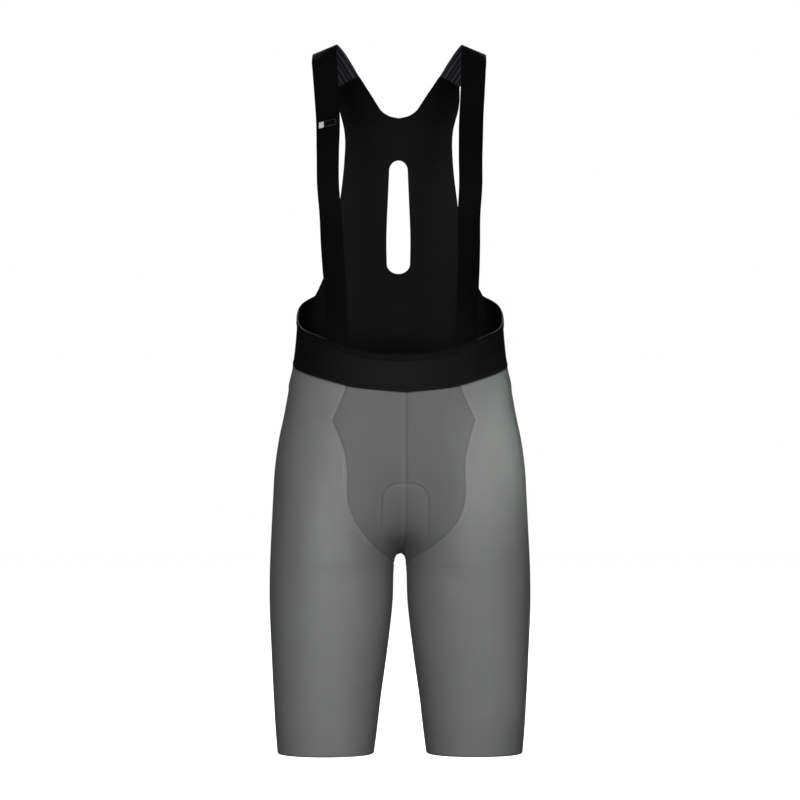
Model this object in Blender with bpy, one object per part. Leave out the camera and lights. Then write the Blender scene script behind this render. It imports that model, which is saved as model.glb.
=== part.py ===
"""Bib shorts, filled out as if worn, with nobody in them.

The whole garment lies on one smooth surface: the zero level of a field made from two leg
sections and a seat, both given by short tables of real sizes. Each sewn piece is a grid of
points on that surface with a wall worked inwards along the surface's own normals.

Frame: metres, +Z up, the front faces -Y and +X is the garment's left as it is worn.
The origin is midway between the undersides of the two straps, where the shoulders carry it.
"""

import math

import bmesh
import bpy
import numpy as np

MM = 0.001

WALL = 1.5 * MM
SEAM_GAP = 0.4 * MM
BINDING_WIDTH = 6.0 * MM
BINDING_RISE = 0.5 * MM
STRAP_WIDTH = 33.0 * MM
STRAP_DEPTH = 2.0 * MM
PAD_THICKNESS = 7.0 * MM
PAD_EDGE = 1.5 * MM
PAD_CLEAR = 2.3 * MM
LABEL_LENGTH = 25.0 * MM
LABEL_WIDTH = 10.0 * MM
LABEL_THICKNESS = 0.6 * MM
LABEL_HEIGHT = -102.0 * MM
LABEL_TILT = math.radians(10.0)

# One row for each height of the body, in millimetres. Up to the crotch a section is two
# ovals, one for each leg: centre and inner are how far a leg's middle and inner side stand
# from the garment's middle, and inner is negative where the two ovals run into each other.
# From the waist up both ovals are the same one. blend rounds the fold between them.
SECTION_COLUMNS = ("height", "centre", "outer", "inner", "front", "back", "blend")
SECTIONS = (
    (0, 0, 186, -186, -2, 4, 0),
    (-20, 0, 186, -186, -16, 25, 0),
    (-45, 0, 185, -185, -35, 46, 0),
    (-86, 0, 181, -181, -60, 66, 0),
    (-120, 0, 178, -178, -81, 75, 0),
    (-160, 0, 172, -172, -103, 82, 0),
    (-190, 0, 166, -166, -114, 84, 0),
    (-253, 0, 150, -150, -113, 85, 0),
    (-311, 0, 140, -140, -107, 86, 0),
    (-351, 0, 136.8, -136.8, -105, 88, 0),
    (-392, 0, 139.0, -139.0, -107, 92, 0),
    (-425, 0, 143.2, -143.2, -110, 97, 0),
    (-452, 0, 148.0, -148.0, -112, 102, 0),
    (-485, 14, 154.0, -133, -114, 109, 5),
    (-518, 34, 161.0, -112, -115, 117, 12),
    (-559, 55, 166.6, -82, -113.6, 127.0, 20),
    (-598, 70, 168.9, -50, -111.0, 130.0, 24),
    (-638, 82, 170.9, -16, -107.6, 124.5, 24),
    (-655, 86, 171.7, 0, -106.0, 120.0, 20),
    (-667, 88, 172.2, 5.5, -104.9, 116.5, 16),
    (-684, 90, 172.8, 8.2, -103.2, 111.2, 14),
    (-731, 92, 173.3, 10.2, -98.8, 98.0, 14),
    (-798, 94.5, 170.8, 17.6, -91.5, 84.0, 14),
    (-864, 97, 167.6, 26.7, -83.3, 74.3, 14),
    (-905, 98.4, 165.0, 31.6, -77.6, 69.0, 14),
    (-934, 99, 162.6, 35.4, -73.5, 65.5, 14),
)
OVAL_POWER = 2.15
# A line inside each leg that stands at least this far from the garment's middle.
LEG_AXIS = 60.0 * MM

# The seat and crotch are filled by one egg between the legs.
SEAT_CENTRE = (0.0, 5.0 * MM, -560.0 * MM)
SEAT_RADII = (78.0 * MM, 117.0 * MM, 98.0 * MM)
SEAT_BLEND = 20.0 * MM
SEAT_TOP = -452.0 * MM

# Height of the seam under the band and the back panel, by the angle from the centre front.
BAND_SEAM = (
    (0, -454.4),
    (25, -448.6),
    (43, -437.6),
    (78, -421.4),
    (90, -417.5),
    (135, -409.5),
    (180, -407.5),
)
# Height of the band's top edge, by the same angle.
BAND_TOP = (
    (0, -406.7),
    (16.5, -404.0),
    (31.5, -395.2),
    (51, -381.0),
    (69, -371.5),
    (90, -355.0),
    (110, -337.5),
    (124, -328.0),
)
WING_ANGLE = 124.0

# Half width of the two front panels together, by height, from the band to the crotch.
# The second row is the sharp corner where the seam turns inwards.
FRONT_SEAM = (
    (-447.0, 75.5),
    (-492.0, 93.7),
    (-512.0, 85.6),
    (-538.0, 78.0),
    (-562.0, 75.8),
    (-585.0, 76.0),
    (-606.0, 72.5),
    (-628.0, 62.5),
    (-646.0, 48.0),
    (-660.5, 33.5),
    (-672.0, 18.5),
)
GUSSET_LOW = -684.0 * MM
GUSSET_TIP = -648.0 * MM
GUSSET_TIP_HALF = 1.5 * MM

# Half width of the back panel, by height, from the wings to the shoulder tabs.
BIB_EDGE = (
    (-328.0, 114.0),
    (-309.0, 105.0),
    (-285.0, 95.5),
    (-255.0, 87.5),
    (-225.0, 82.5),
    (-195.0, 79.0),
    (-168.0, 75.6),
    (-141.0, 73.2),
    (-114.0, 72.4),
    (-88.0, 75.0),
    (-66.0, 79.0),
    (-45.3, 81.2),
)
# Neckline of the back panel as distance from the middle and height.
NECKLINE = (
    (0.0, -85.8),
    (13.4, -82.6),
    (22.4, -77.1),
    (30.2, -66.6),
    (36.9, -56.2),
    (43.4, -45.9),
    (50.4, -35.7),
    (55.4, -31.0),
)
TAB_OUTER = (81.2, -45.3)
# Half width of the slot, by height, and the radius of its two ends.
SLOT_WIDTH = ((-142.0, 12.0), (-168.0, 13.0), (-195.0, 14.2), (-249.0, 16.2), (-295.0, 15.4))
SLOT_TOP = -142.0 * MM
SLOT_BOTTOM = -295.0 * MM
SLOT_END = 13.0 * MM

# Distance of the strap's middle line from the garment's middle where it lies on the chest.
STRAP_LINE = (
    (-428.0, 84.5),
    (-392.0, 85.5),
    (-330.0, 87.6),
    (-253.0, 90.0),
    (-190.0, 91.6),
    (-120.0, 95.0),
)
# Heights at which the strap is laid on the chest.
STRAP_HEIGHTS = (-428, -400, -365, -330, -290, -253, -222, -190, -155, -120)
# From there down it lies deeper and deeper, to pass inside the band.
STRAP_DIVES_FROM = -300.0 * MM
STRAP_DIVE = 60.0 * MM
# The strap over the shoulder, from the chest to the back panel's tab. Columns: x, y and z
# of its middle, then how far its outer edge lies from its inner edge along x, y and z.
SHOULDER = (
    (96.2, -52.0, -88.0, 32.0, 8.0, -1.0),
    (97.8, -36.5, -56.0, 32.5, 5.0, -2.0),
    (99.3, -22.5, -29.0, 33.0, 3.0, -4.0),
    (100.3, -11.0, -10.0, 33.0, 3.0, -8.0),
    (99.5, 0.5, 0.8, 31.0, 5.0, -12.5),
    (90.5, 14.0, -6.5, 29.5, 8.0, -13.5),
    (79.5, 26.5, -21.0, 28.0, 9.0, -14.5),
)

# Half width of the seat pad along the middle line, from its front end to its back end.
PAD_WIDTH = (
    (0.0, 12.0),
    (0.03, 24.0),
    (0.09, 32.0),
    (0.25, 35.0),
    (0.45, 38.0),
    (0.62, 52.0),
    (0.8, 68.0),
    (0.92, 62.0),
    (1.0, 38.0),
)
PAD_FRONT_HEIGHT = -574.0 * MM
PAD_BACK_HEIGHT = -545.0 * MM

# How finely points are sought on the surface.
RAY_REACH = 260.0 * MM
RAY_STEPS = 105
HALVINGS = 26
SETTLINGS = 5
MERGE = 0.001 * MM

FRONT_COLUMNS = 5
SIDE_COLUMNS = 15
BACK_COLUMNS = 11
TAB_COLUMNS = 3
STRAP_ROWS = 34
BAND_ROWS = 3
SLOT_ROWS = 8
SLOT_END_ROWS = (0.0, 0.09, 0.38, 1.0)
NECK_ROWS = (0.22, 0.46, 0.72, 1.0)
PAD_STEPS = 4
PAD_ROWS = 24
PAD_COLUMNS = 12

# Heights of the leg's rows from the hem to the band, where they meet the front panel's seam.
LEG_ROWS = (
    -934, -912, -884, -852, -820, -788, -760, -735, -714, -697, -684, -679, -672, -660.5,
    -648, -640, -628, -606, -585, -562, -538, -512, -492, -470, -447,
)
ROWS_LEVEL_BELOW = -600.0 * MM
PANEL_TURN_BELOW = 3.0 * MM

MATERIALS = {
    "leg_knit": ((0.20, 0.205, 0.203), 0.62),
    "panel_knit": ((0.155, 0.16, 0.158), 0.66),
    "band_knit": ((0.012, 0.012, 0.013), 0.6),
    "binding_tape": ((0.014, 0.014, 0.015), 0.55),
    "back_knit": ((0.010, 0.010, 0.011), 0.7),
    "strap_elastic": ((0.008, 0.008, 0.009), 0.65),
    "pad_foam": ((0.05, 0.05, 0.055), 0.85),
    "label_tag": ((0.30, 0.30, 0.30), 0.7),
}


def curve(rows, at, column=1):
    """A smooth curve through the rows of a table, read at any value of its first column.

    Each span is a cubic whose slopes at its two ends are the mean slopes of the table there.
    """
    table = np.array(rows, dtype=float)
    table = table[np.argsort(table[:, 0])]
    knots = table[:, 0]
    values = table[:, column]
    slopes = np.gradient(values, knots)
    at = np.clip(np.asarray(at, dtype=float), knots[0], knots[-1])
    span = np.clip(np.searchsorted(knots, at, side="right") - 1, 0, len(knots) - 2)
    width = knots[span + 1] - knots[span]
    t = (at - knots[span]) / width
    rise = t * t * (3 - 2 * t)
    leave = t * (1 - t) ** 2 * width * slopes[span]
    arrive = t * t * (t - 1) * width * slopes[span + 1]
    return values[span] * (1 - rise) + values[span + 1] * rise + leave + arrive


def section(name, z):
    """One column of the body's table, in metres, at heights in metres."""
    return curve(SECTIONS, z / MM, SECTION_COLUMNS.index(name)) * MM


def soft_min(a, b, blend):
    """The smaller of two distances, with the corner between them rounded over blend."""
    blend = np.maximum(blend, 1e-6)
    overlap = np.maximum(blend - np.abs(a - b), 0) / blend
    return np.minimum(a, b) - overlap * overlap * blend / 4


def leg_field(x, y, z):
    """About how far a point is outside the leg on the +X side."""
    centre = section("centre", z)
    across = x - centre
    half = np.where(across > 0, section("outer", z) - centre, centre - section("inner", z))
    front = section("front", z)
    back = section("back", z)
    depth = (back - front) / 2
    along = y - (front + back) / 2
    oval = np.abs(across / half) ** OVAL_POWER + np.abs(along / depth) ** OVAL_POWER
    return (oval ** (1 / OVAL_POWER) - 1) * np.minimum(half, depth)


def field(points):
    """About how far points are outside the garment's surface, negative inside it."""
    x = points[..., 0]
    y = points[..., 1]
    z = points[..., 2]
    legs = soft_min(leg_field(x, y, z), leg_field(-x, y, z), section("blend", z))
    seat = (points - np.array(SEAT_CENTRE)) / np.array(SEAT_RADII)
    egg = (np.sqrt((seat**2).sum(axis=-1)) - 1) * min(SEAT_RADII)
    return np.where(z < SEAT_TOP, soft_min(legs, egg, SEAT_BLEND), legs)


def normals(points):
    """Unit vectors out of the surface, from the field's slope along each axis."""
    step = 0.5 * MM
    slope = np.empty_like(points)
    for axis in range(3):
        shift = np.zeros(3)
        shift[axis] = step
        slope[..., axis] = field(points + shift) - field(points - shift)
    return slope / np.linalg.norm(slope, axis=-1, keepdims=True)


def unit(vectors):
    """Vectors scaled to a length of one."""
    return vectors / np.linalg.norm(vectors, axis=-1, keepdims=True)


def cast(origins, directions):
    """The first points where rays from inside leave the surface, by halving."""
    steps = np.linspace(0, RAY_REACH, RAY_STEPS)
    track = origins[..., None, :] + directions[..., None, :] * steps[:, None]
    outside = field(track) > 0
    first = np.maximum(outside.argmax(axis=-1), 1)
    near = steps[first - 1]
    far = steps[first]
    for _ in range(HALVINGS):
        middle = (near + far) / 2
        out = field(origins + directions * middle[..., None]) > 0
        far = np.where(out, middle, far)
        near = np.where(out, near, middle)
    return origins + directions * far[..., None]


def settle(points):
    """Points near the surface, moved onto it along the field's slope."""
    for _ in range(SETTLINGS):
        points = points - normals(points) * field(points)[..., None]
    return points


def stack(*columns):
    """Columns of coordinates, joined into points."""
    return np.stack(np.broadcast_arrays(*columns), axis=-1).astype(float)


def leg_axis(z):
    """The line inside the leg that its rays start from."""
    middle = (section("front", z) + section("back", z)) / 2
    return stack(np.maximum(section("centre", z), LEG_AXIS), middle, z)


def on_side(x, z, facing):
    """Surface points at given x and height, on the front (facing -1) or the back (+1)."""
    middle = (section("front", z) + section("back", z)) / 2
    origins = stack(x, middle, z)
    return cast(origins, np.broadcast_to((0.0, facing, 0.0), origins.shape))


def angle_of(points):
    """The angle of surface points about the leg's axis, from the outer side."""
    axis = leg_axis(points[..., 2])
    return np.arctan2(points[..., 1] - axis[..., 1], points[..., 0] - axis[..., 0])


def at_angle(angle, z):
    """Surface points at an angle about the leg's axis."""
    origins = leg_axis(z)
    return cast(origins, stack(np.cos(angle), np.sin(angle), np.zeros_like(origins[..., 0])))


def ring_point(degrees, z):
    """Points on the waist at given heights, by the oval's own angle from the centre front:
    its sine is the share of the half width, its cosine the share of the half depth."""
    angle = np.radians(degrees)
    middle = (section("front", z) + section("back", z)) / 2
    depth = (section("back", z) - section("front", z)) / 2
    origins = stack(np.zeros_like(middle), middle, z)
    heading = stack(section("outer", z) * np.sin(angle), -depth * np.cos(angle), 0.0 * z)
    return cast(origins, unit(heading))


def band_seam(degrees):
    """Height of the seam under the band and back panel."""
    return curve(BAND_SEAM, np.abs(degrees)) * MM


def front_seam_x(z):
    """Half width of the front panels: straight down to the corner, then a smooth curve."""
    below = curve(FRONT_SEAM[1:], z / MM)
    (top, top_half), (corner, corner_half) = FRONT_SEAM[:2]
    above = np.interp(z / MM, (corner, top), (corner_half, top_half))
    return np.where(z / MM > corner, above, below) * MM


def seam_angle():
    """Where the front panels' seam meets the band, as an angle from the centre front."""
    top, half = FRONT_SEAM[0]
    point = on_side(np.array(half * MM), np.array(top * MM), -1.0)
    front = section("front", point[2])
    back = section("back", point[2])
    across = point[0] / section("outer", point[2])
    along = (front + back - 2 * point[1]) / (back - front)
    return math.degrees(math.atan2(across, along))


def ring_angles():
    """Angles of the columns round the waist, from the centre front to the centre back."""
    seam = seam_angle()
    front = np.linspace(0, seam, FRONT_COLUMNS + 1)
    side = np.linspace(seam, WING_ANGLE, SIDE_COLUMNS + 1)
    back = np.linspace(WING_ANGLE, 180, BACK_COLUMNS + 1)
    return np.concatenate((front, side[1:], back[1:]))


def ring():
    """The points of the seam round the waist, on the +X side."""
    angles = ring_angles()
    return ring_point(angles, band_seam(angles))


def waist_share(heights):
    """How far leg rows follow the waist's slope: not at all low down, wholly at the top."""
    top = LEG_ROWS[-1] * MM
    share = np.clip((heights - ROWS_LEVEL_BELOW) / (top - ROWS_LEVEL_BELOW), 0, 1)
    return share * share * (3 - 2 * share)


def gusset_curve():
    """The seam between a leg and its front panel, as points from the band down the front,
    under the crotch and up to the tip at the back, and which leg row each end lies on.

    On the front it is read from the table. Round the inner thigh its angle about the leg
    closes on the inseam as a square root, which gives a round turn.
    """
    rows = np.array(LEG_ROWS) * MM
    last_front = FRONT_SEAM[-1][0] * MM
    front_z = rows[rows >= last_front - 1e-9][::-1]
    front = on_side(front_seam_x(front_z), front_z, -1.0)
    front[0] = ring_point(seam_angle(), band_seam(seam_angle()))
    turn_z = rows[(rows < last_front - 1e-9) & (rows > GUSSET_LOW + 1e-9)][::-1]
    share = np.sqrt((turn_z - GUSSET_LOW) / (last_front - GUSSET_LOW))
    turn = at_angle(-math.pi + share * (math.pi + angle_of(front[-1])), turn_z)
    low = at_angle(np.array([math.pi]), np.array([GUSSET_LOW]))
    rise_z = rows[(rows > GUSSET_LOW + 1e-9) & (rows < GUSSET_TIP - 1e-9)]
    tip = on_side(np.array([GUSSET_TIP_HALF]), np.array([GUSSET_TIP]), 1.0)
    share = np.sqrt((rise_z - GUSSET_LOW) / (GUSSET_TIP - GUSSET_LOW))
    rise = at_angle(math.pi - share * (math.pi - angle_of(tip)), rise_z)
    return np.concatenate((front, turn, low, rise, tip)), len(front) + len(turn)


def towards_panel(seam):
    """Unit vectors in the surface, square to the front panel's seam, into that panel."""
    aside = unit(np.cross(normals(seam), np.gradient(seam, axis=0)))
    return aside if aside[0, 0] < 0 else -aside


def leg_grid():
    """Points of the +X leg: rows from the hem to the band, columns from the front round the
    outside to the back. Up to the crotch a row is a whole turn that starts at the inseam."""
    rows = np.array(LEG_ROWS) * MM
    seam, low = gusset_curve()
    seam = seam - towards_panel(seam) * SEAM_GAP / 2
    waist = ring()[FRONT_COLUMNS:]
    columns = len(waist)
    even = np.linspace(0, 1, columns)
    spread = np.unwrap(angle_of(waist))
    spread = (spread - spread[0]) / (spread[-1] - spread[0])
    lift = waist_share(rows)
    crotch_row = int(np.flatnonzero(np.isclose(rows, GUSSET_LOW))[0])
    grid = np.empty((len(rows), columns, 3))
    for row, z in enumerate(rows):
        heights = z + lift[row] * (waist[:, 2] - waist[0, 2])
        share = even + lift[row] * (spread - even)
        if row < crotch_row:
            start, end = -math.pi, math.pi
            grid[row] = at_angle(start + share * (end - start), heights)
            grid[row, -1] = grid[row, 0]
            continue
        first = seam[low - (row - crotch_row)]
        start = -math.pi if row == crotch_row else angle_of(first)
        if low + row - crotch_row < len(seam):
            last = seam[low + row - crotch_row]
        else:
            last = on_side(np.array(SEAM_GAP / 2), heights[-1], 1.0)
        end = math.pi if row == crotch_row else angle_of(last)
        grid[row] = at_angle(start + share * (end - start), heights)
        grid[row, 0] = first
        grid[row, -1] = last
    grid[-1] = waist
    grid[-1, 0] = seam[0]
    grid[-1, -1, 0] = SEAM_GAP / 2
    grid[-1, :, 2] -= SEAM_GAP / 2
    return grid, crotch_row


def front_grid():
    """Points of the +X front panel: rows from the band down and under to the tip at the
    back, columns from the centre seam to the leg's seam."""
    seam, low = gusset_curve()
    outer = seam + towards_panel(seam) * SEAM_GAP / 2
    count = int((seam[:low, 2] > SEAT_CENTRE[2] - PANEL_TURN_BELOW).sum())
    heights = seam[:count, 2]
    drop = band_seam(0.0) - heights[0]
    upper = on_side(np.full(count, SEAM_GAP / 2), heights + waist_share(heights) * drop, -1.0)
    run = np.linalg.norm(np.diff(seam[count - 1 :], axis=0), axis=1).cumsum()
    start = math.atan2(SEAT_CENTRE[2] - upper[-1, 2], SEAT_CENTRE[1] - upper[-1, 1])
    tip = seam[-1]
    end = math.pi - math.atan2(SEAT_CENTRE[2] - tip[2], tip[1] - SEAT_CENTRE[1])
    turn = start + (end - start) * run / run[-1]
    origins = np.broadcast_to((SEAM_GAP / 2, SEAT_CENTRE[1], SEAT_CENTRE[2]), (len(turn), 3))
    under = cast(origins.copy(), stack(np.zeros_like(turn), -np.cos(turn), -np.sin(turn)))
    inner = np.concatenate((upper, under))
    share = np.linspace(0, 1, FRONT_COLUMNS + 1)[None, :, None]
    grid = settle(inner[:, None] * (1 - share) + outer[:, None] * share)
    waist = ring()[: FRONT_COLUMNS + 1]
    grid[0, :-1] = waist[:-1]
    grid[:, -1] = outer
    grid[:, 0, 0] = SEAM_GAP / 2
    grid[0, :, 2] -= SEAM_GAP / 2
    return grid


def band_grid():
    """Points of the band: rows from the seam up to the binding, columns from wing to wing."""
    half = ring_angles()[: FRONT_COLUMNS + SIDE_COLUMNS + 1]
    angles = np.concatenate((-half[:0:-1], half))
    bottom = band_seam(angles) + SEAM_GAP / 2
    top = curve(BAND_TOP, np.abs(angles)) * MM - BINDING_WIDTH
    share = np.linspace(0, 1, BAND_ROWS + 1)[:, None]
    heights = bottom * (1 - share) + top * share
    grid = ring_point(np.broadcast_to(angles, heights.shape), heights)
    return shortened(grid, SEAM_GAP / 2)


def binding_grid():
    """Points of the binding, one strip above the band's last row."""
    half = ring_angles()[: FRONT_COLUMNS + SIDE_COLUMNS + 1]
    angles = np.concatenate((-half[:0:-1], half))
    top = curve(BAND_TOP, np.abs(angles)) * MM
    heights = np.stack((top - BINDING_WIDTH + SEAM_GAP, top - BINDING_WIDTH / 2, top))
    grid = ring_point(np.broadcast_to(angles, heights.shape), heights)
    return shortened(grid, SEAM_GAP / 2)


def shortened(grid, by):
    """A grid whose first and last columns are drawn in along its rows."""
    grid = grid.copy()
    grid[:, 0] += unit(grid[:, 1] - grid[:, 0]) * by
    grid[:, -1] += unit(grid[:, -2] - grid[:, -1]) * by
    return grid


def slot_half(z):
    """Half width of the slot at a height, with round ends, and nothing beyond them."""
    wide = curve(SLOT_WIDTH, z / MM) * MM
    depth = np.clip(np.minimum(SLOT_TOP - z, z - SLOT_BOTTOM), 0, SLOT_END)
    return wide * np.sqrt(np.clip(1 - (1 - depth / SLOT_END) ** 2, 0, 1))


def neck_row():
    """The back panel's top row on the +X side: along the neckline, then across the tab."""
    line = np.array(NECKLINE) * MM
    tab = np.array(TAB_OUTER) * MM
    run = np.concatenate(([0], np.linalg.norm(np.diff(line, axis=0), axis=1).cumsum()))
    count = BACK_COLUMNS - TAB_COLUMNS
    at = np.linspace(0, run[-1], count + 1)
    table_x = np.column_stack((run, line[:, 0]))
    table_z = np.column_stack((run, line[:, 1]))
    neck = np.column_stack((curve(table_x, at), curve(table_z, at)))
    share = np.linspace(0, 1, TAB_COLUMNS + 1)[1:, None]
    return np.concatenate((neck, neck[-1] * (1 - share) + tab * share))


def bib_grid():
    """Points of the back panel's +X half: rows from the seat seam up to the neckline,
    columns from the middle, or the slot's edge, to the side edge."""
    angles = ring_angles()[FRONT_COLUMNS + SIDE_COLUMNS :][::-1]
    foot = ring_point(angles, band_seam(angles))
    corner = BAND_TOP[-1][1] * MM
    wing = ring_point(
        np.full(BAND_ROWS + 1, WING_ANGLE), np.linspace(foot[-1, 2], corner, BAND_ROWS + 1)
    )
    end = np.array(SLOT_END_ROWS) * SLOT_END
    middle = np.linspace(SLOT_BOTTOM + SLOT_END, SLOT_TOP - SLOT_END, SLOT_ROWS)[1:-1]
    above = np.linspace(corner, SLOT_BOTTOM, 3)[1:-1]
    levels = np.concatenate((above, SLOT_BOTTOM + end, middle, (SLOT_TOP - end)[::-1]))
    share = np.linspace(0, 1, BACK_COLUMNS + 1)
    rows = []
    for step, lift in enumerate(np.linspace(0, 1, BAND_ROWS + 1)):
        row = np.column_stack((share * wing[-1, 0], np.full_like(share, corner)))
        row = foot[:, ::2] * (1 - lift) + row * lift
        row[-1] = wing[step, ::2]
        rows.append(row)
    for z in levels:
        inside = slot_half(z)
        edge = curve(BIB_EDGE, z / MM) * MM
        rows.append(np.column_stack((inside + share * (edge - inside), np.full_like(share, z))))
    last = rows[-1]
    top = neck_row()
    for lift in NECK_ROWS:
        row = last * (1 - lift) + top * lift
        edge = curve(BIB_EDGE, row[-1, 1] / MM) * MM
        row[:, 0] += share**3 * (edge - row[-1, 0])
        rows.append(row)
    flat = np.array(rows)
    grid = on_side(flat[..., 0], flat[..., 1], 1.0)
    grid[: BAND_ROWS + 1, -1] = wing
    grid[0] = foot
    grid[0, :, 2] += SEAM_GAP / 2
    inward = unit(grid[: BAND_ROWS + 1, -2] - grid[: BAND_ROWS + 1, -1]) * SEAM_GAP / 2
    grid[: BAND_ROWS + 1, -1] += inward
    return grid


def strap_rows():
    """The strap's inner edge, middle and outer edge, from inside the band to the tab.

    On the chest the three lie on the surface, and the width is measured along it. Over the
    shoulder they come from the table. A smooth curve through them all gives the rows."""
    z = np.array(STRAP_HEIGHTS) * MM
    centre_x = curve(STRAP_LINE, STRAP_HEIGHTS) * MM
    middle = on_side(centre_x, z, -1.0)
    sideways = np.cross(normals(middle), (0.0, 0.0, 1.0))
    sideways = unit(sideways * np.sign(sideways[:, :1]))
    inner = settle(middle - sideways * STRAP_WIDTH / 2)
    outer = settle(middle + sideways * STRAP_WIDTH / 2)
    under = np.clip((STRAP_DIVES_FROM - z) / STRAP_DIVE, 0, 1) * STRAP_DEPTH
    chest = np.stack((inner, middle, outer), axis=1)
    chest -= normals(chest) * under[:, None, None]
    table = np.array(SHOULDER) * MM
    spot = table[:, :3]
    half = table[:, 3:] / 2
    shoulder = np.stack((spot - half, spot, spot + half), axis=1)
    top = neck_row()[-TAB_COLUMNS - 1 :]
    tab = on_side(top[:, 0], top[:, 1], 1.0)
    ends = np.stack((tab[0], (tab[0] + tab[-1]) / 2, tab[-1]))[None]
    ends[:, 1] = settle(ends[:, 1])
    return np.concatenate((chest, shoulder, ends))


def strap_point(run, across):
    """Points of the strap: run from 0 inside the band to 1 at the tab, across from -1 at
    the inner edge to 1 at the outer edge."""
    rows = strap_rows()
    steps = np.linalg.norm(np.diff(rows[:, 1], axis=0), axis=1)
    knots = np.concatenate(([0], steps.cumsum())) / steps.sum()
    inner, middle, outer = (
        np.stack(
            [curve(np.column_stack((knots, rows[:, part, axis])), run) for axis in range(3)],
            axis=-1,
        )
        for part in range(3)
    )
    side = across[..., None]
    return (
        middle * (1 - side * side)
        + outer * (side * (side + 1) / 2)
        + inner * (side * (side - 1) / 2)
    )


def sheet_normals(grid):
    """Unit vectors square to a grid, from its rows and columns."""
    return unit(np.cross(np.gradient(grid, axis=1), np.gradient(grid, axis=0)))


def strap_grid():
    """Points of the +X strap's outer face, a row every so far along it."""
    run = np.linspace(0, 1, STRAP_ROWS + 1)[:, None]
    across = np.linspace(-1, 1, TAB_COLUMNS + 1)[None]
    run, across = np.broadcast_arrays(run, across)
    grid = strap_point(run, across)
    grid[-1] += unit(grid[-2] - grid[-1]) * SEAM_GAP
    return grid


def pad_grid():
    """Points of the pad's outline on the surface: rows along the middle line from front to
    back, columns stepped sideways over the surface from the middle."""
    front = on_side(np.array(0.0), np.array(PAD_FRONT_HEIGHT), -1.0)
    back = on_side(np.array(0.0), np.array(PAD_BACK_HEIGHT), 1.0)
    hub = np.array(SEAT_CENTRE)
    start = math.atan2(hub[2] - front[2], hub[1] - front[1])
    end = math.pi - math.atan2(hub[2] - back[2], back[1] - hub[1])
    share = np.linspace(0, 1, PAD_ROWS + 1)
    turn = start + (end - start) * share
    middle = cast(
        np.broadcast_to(hub, (len(turn), 3)).copy(),
        stack(np.zeros_like(turn), -np.cos(turn), -np.sin(turn)),
    )
    half = curve(PAD_WIDTH, share) * MM
    columns = [middle]
    heading = np.broadcast_to((1.0, 0.0, 0.0), middle.shape)
    stride = (half / (PAD_COLUMNS // 2) / PAD_STEPS)[:, None]
    for _ in range(PAD_COLUMNS // 2):
        point = columns[-1]
        for _ in range(PAD_STEPS):
            face = normals(point)
            heading = unit(heading - face * (heading * face).sum(axis=-1, keepdims=True))
            point = settle(point + heading * stride)
        columns.append(point)
    right = np.stack(columns, axis=1)
    left = right[:, :0:-1] * (-1, 1, 1)
    return np.concatenate((left, right), axis=1)


def material(name):
    """A plain material with the cloth's colour and roughness."""
    colour, roughness = MATERIALS[name]
    made = bpy.data.materials.new(name)
    made.use_nodes = True
    shader = made.node_tree.nodes["Principled BSDF"]
    shader.inputs["Base Color"].default_value = (*colour, 1.0)
    shader.inputs["Roughness"].default_value = roughness
    shader.inputs["Metallic"].default_value = 0.0
    made.diffuse_color = (*colour, 1.0)
    return made


def quad_index(rows, columns):
    """Corner numbers of a grid's quads, row by row."""
    corner = np.arange((rows - 1) * columns).reshape(rows - 1, columns)[:, :-1].ravel()
    return np.column_stack((corner, corner + 1, corner + columns + 1, corner + columns))


def wall_faces(rows, columns, closed_rows=0, joined=()):
    """The faces of a wall between an outer grid and the inner one that follows it.

    For the first closed_rows steps the last column meets the first, so neither has an edge
    face. joined lists the steps where the first column runs on into another half.
    """
    shift = rows * columns
    quads = quad_index(rows, columns)
    faces = [tuple(quad) for quad in quads]
    faces += [tuple(quad[::-1] + shift) for quad in quads]
    edges = []
    for column in range(columns - 1):
        for corner in (column, (rows - 1) * columns + column):
            edges.append((corner, corner + 1))
    for row in range(closed_rows, rows - 1):
        last = row * columns + columns - 1
        edges.append((last, last + columns))
        if row not in joined:
            edges.append((row * columns, row * columns + columns))
    faces += [(a, b, b + shift, a + shift) for a, b in edges]
    return faces


def add_wall(name, outer, inner, finish, closed_rows=0):
    """One closed solid between two grids of points."""
    faces = wall_faces(*outer.shape[:2], closed_rows)
    points = np.concatenate((outer.reshape(-1, 3), inner.reshape(-1, 3)))
    add_solid(name, points, faces, finish)


def add_solid(name, points, faces, finish):
    """A named object from points and faces, merged where points meet and turned outwards."""
    mesh = bpy.data.meshes.new(name)
    mesh.from_pydata([tuple(point) for point in points], [], faces)
    work = bmesh.new()
    work.from_mesh(mesh)
    bmesh.ops.remove_doubles(work, verts=work.verts, dist=MERGE)
    bmesh.ops.recalc_face_normals(work, faces=work.faces)
    work.to_mesh(mesh)
    work.free()
    mesh.shade_smooth()
    mesh.set_sharp_from_angle(angle=math.radians(40))
    mesh.materials.append(bpy.data.materials.get(finish) or material(finish))
    bpy.context.collection.objects.link(bpy.data.objects.new(name, mesh))


def inwards(grid, depth, middle_column=None):
    """The grid moved into the body by a depth. A column on the middle keeps its x."""
    moved = grid - normals(grid) * depth
    if middle_column is not None:
        moved[:, middle_column, 0] = grid[:, middle_column, 0]
    return moved


def mirrored(grid):
    """The grid on the other side of the garment's middle."""
    return grid * np.array((-1.0, 1.0, 1.0))


SIDES = (("left", np.asarray), ("right", mirrored))


def make_legs():
    """Both leg panels, each a tube that opens above the crotch."""
    outer, crotch_row = leg_grid()
    inner = inwards(outer, WALL)
    opened = outer[crotch_row + 1 :, -1, 0] <= SEAM_GAP
    inner[crotch_row + 1 :, -1, 0][opened] = SEAM_GAP / 2
    for side, turned in SIDES:
        add_wall(f"leg_{side}", turned(outer), turned(inner), "leg_knit", crotch_row)


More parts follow.
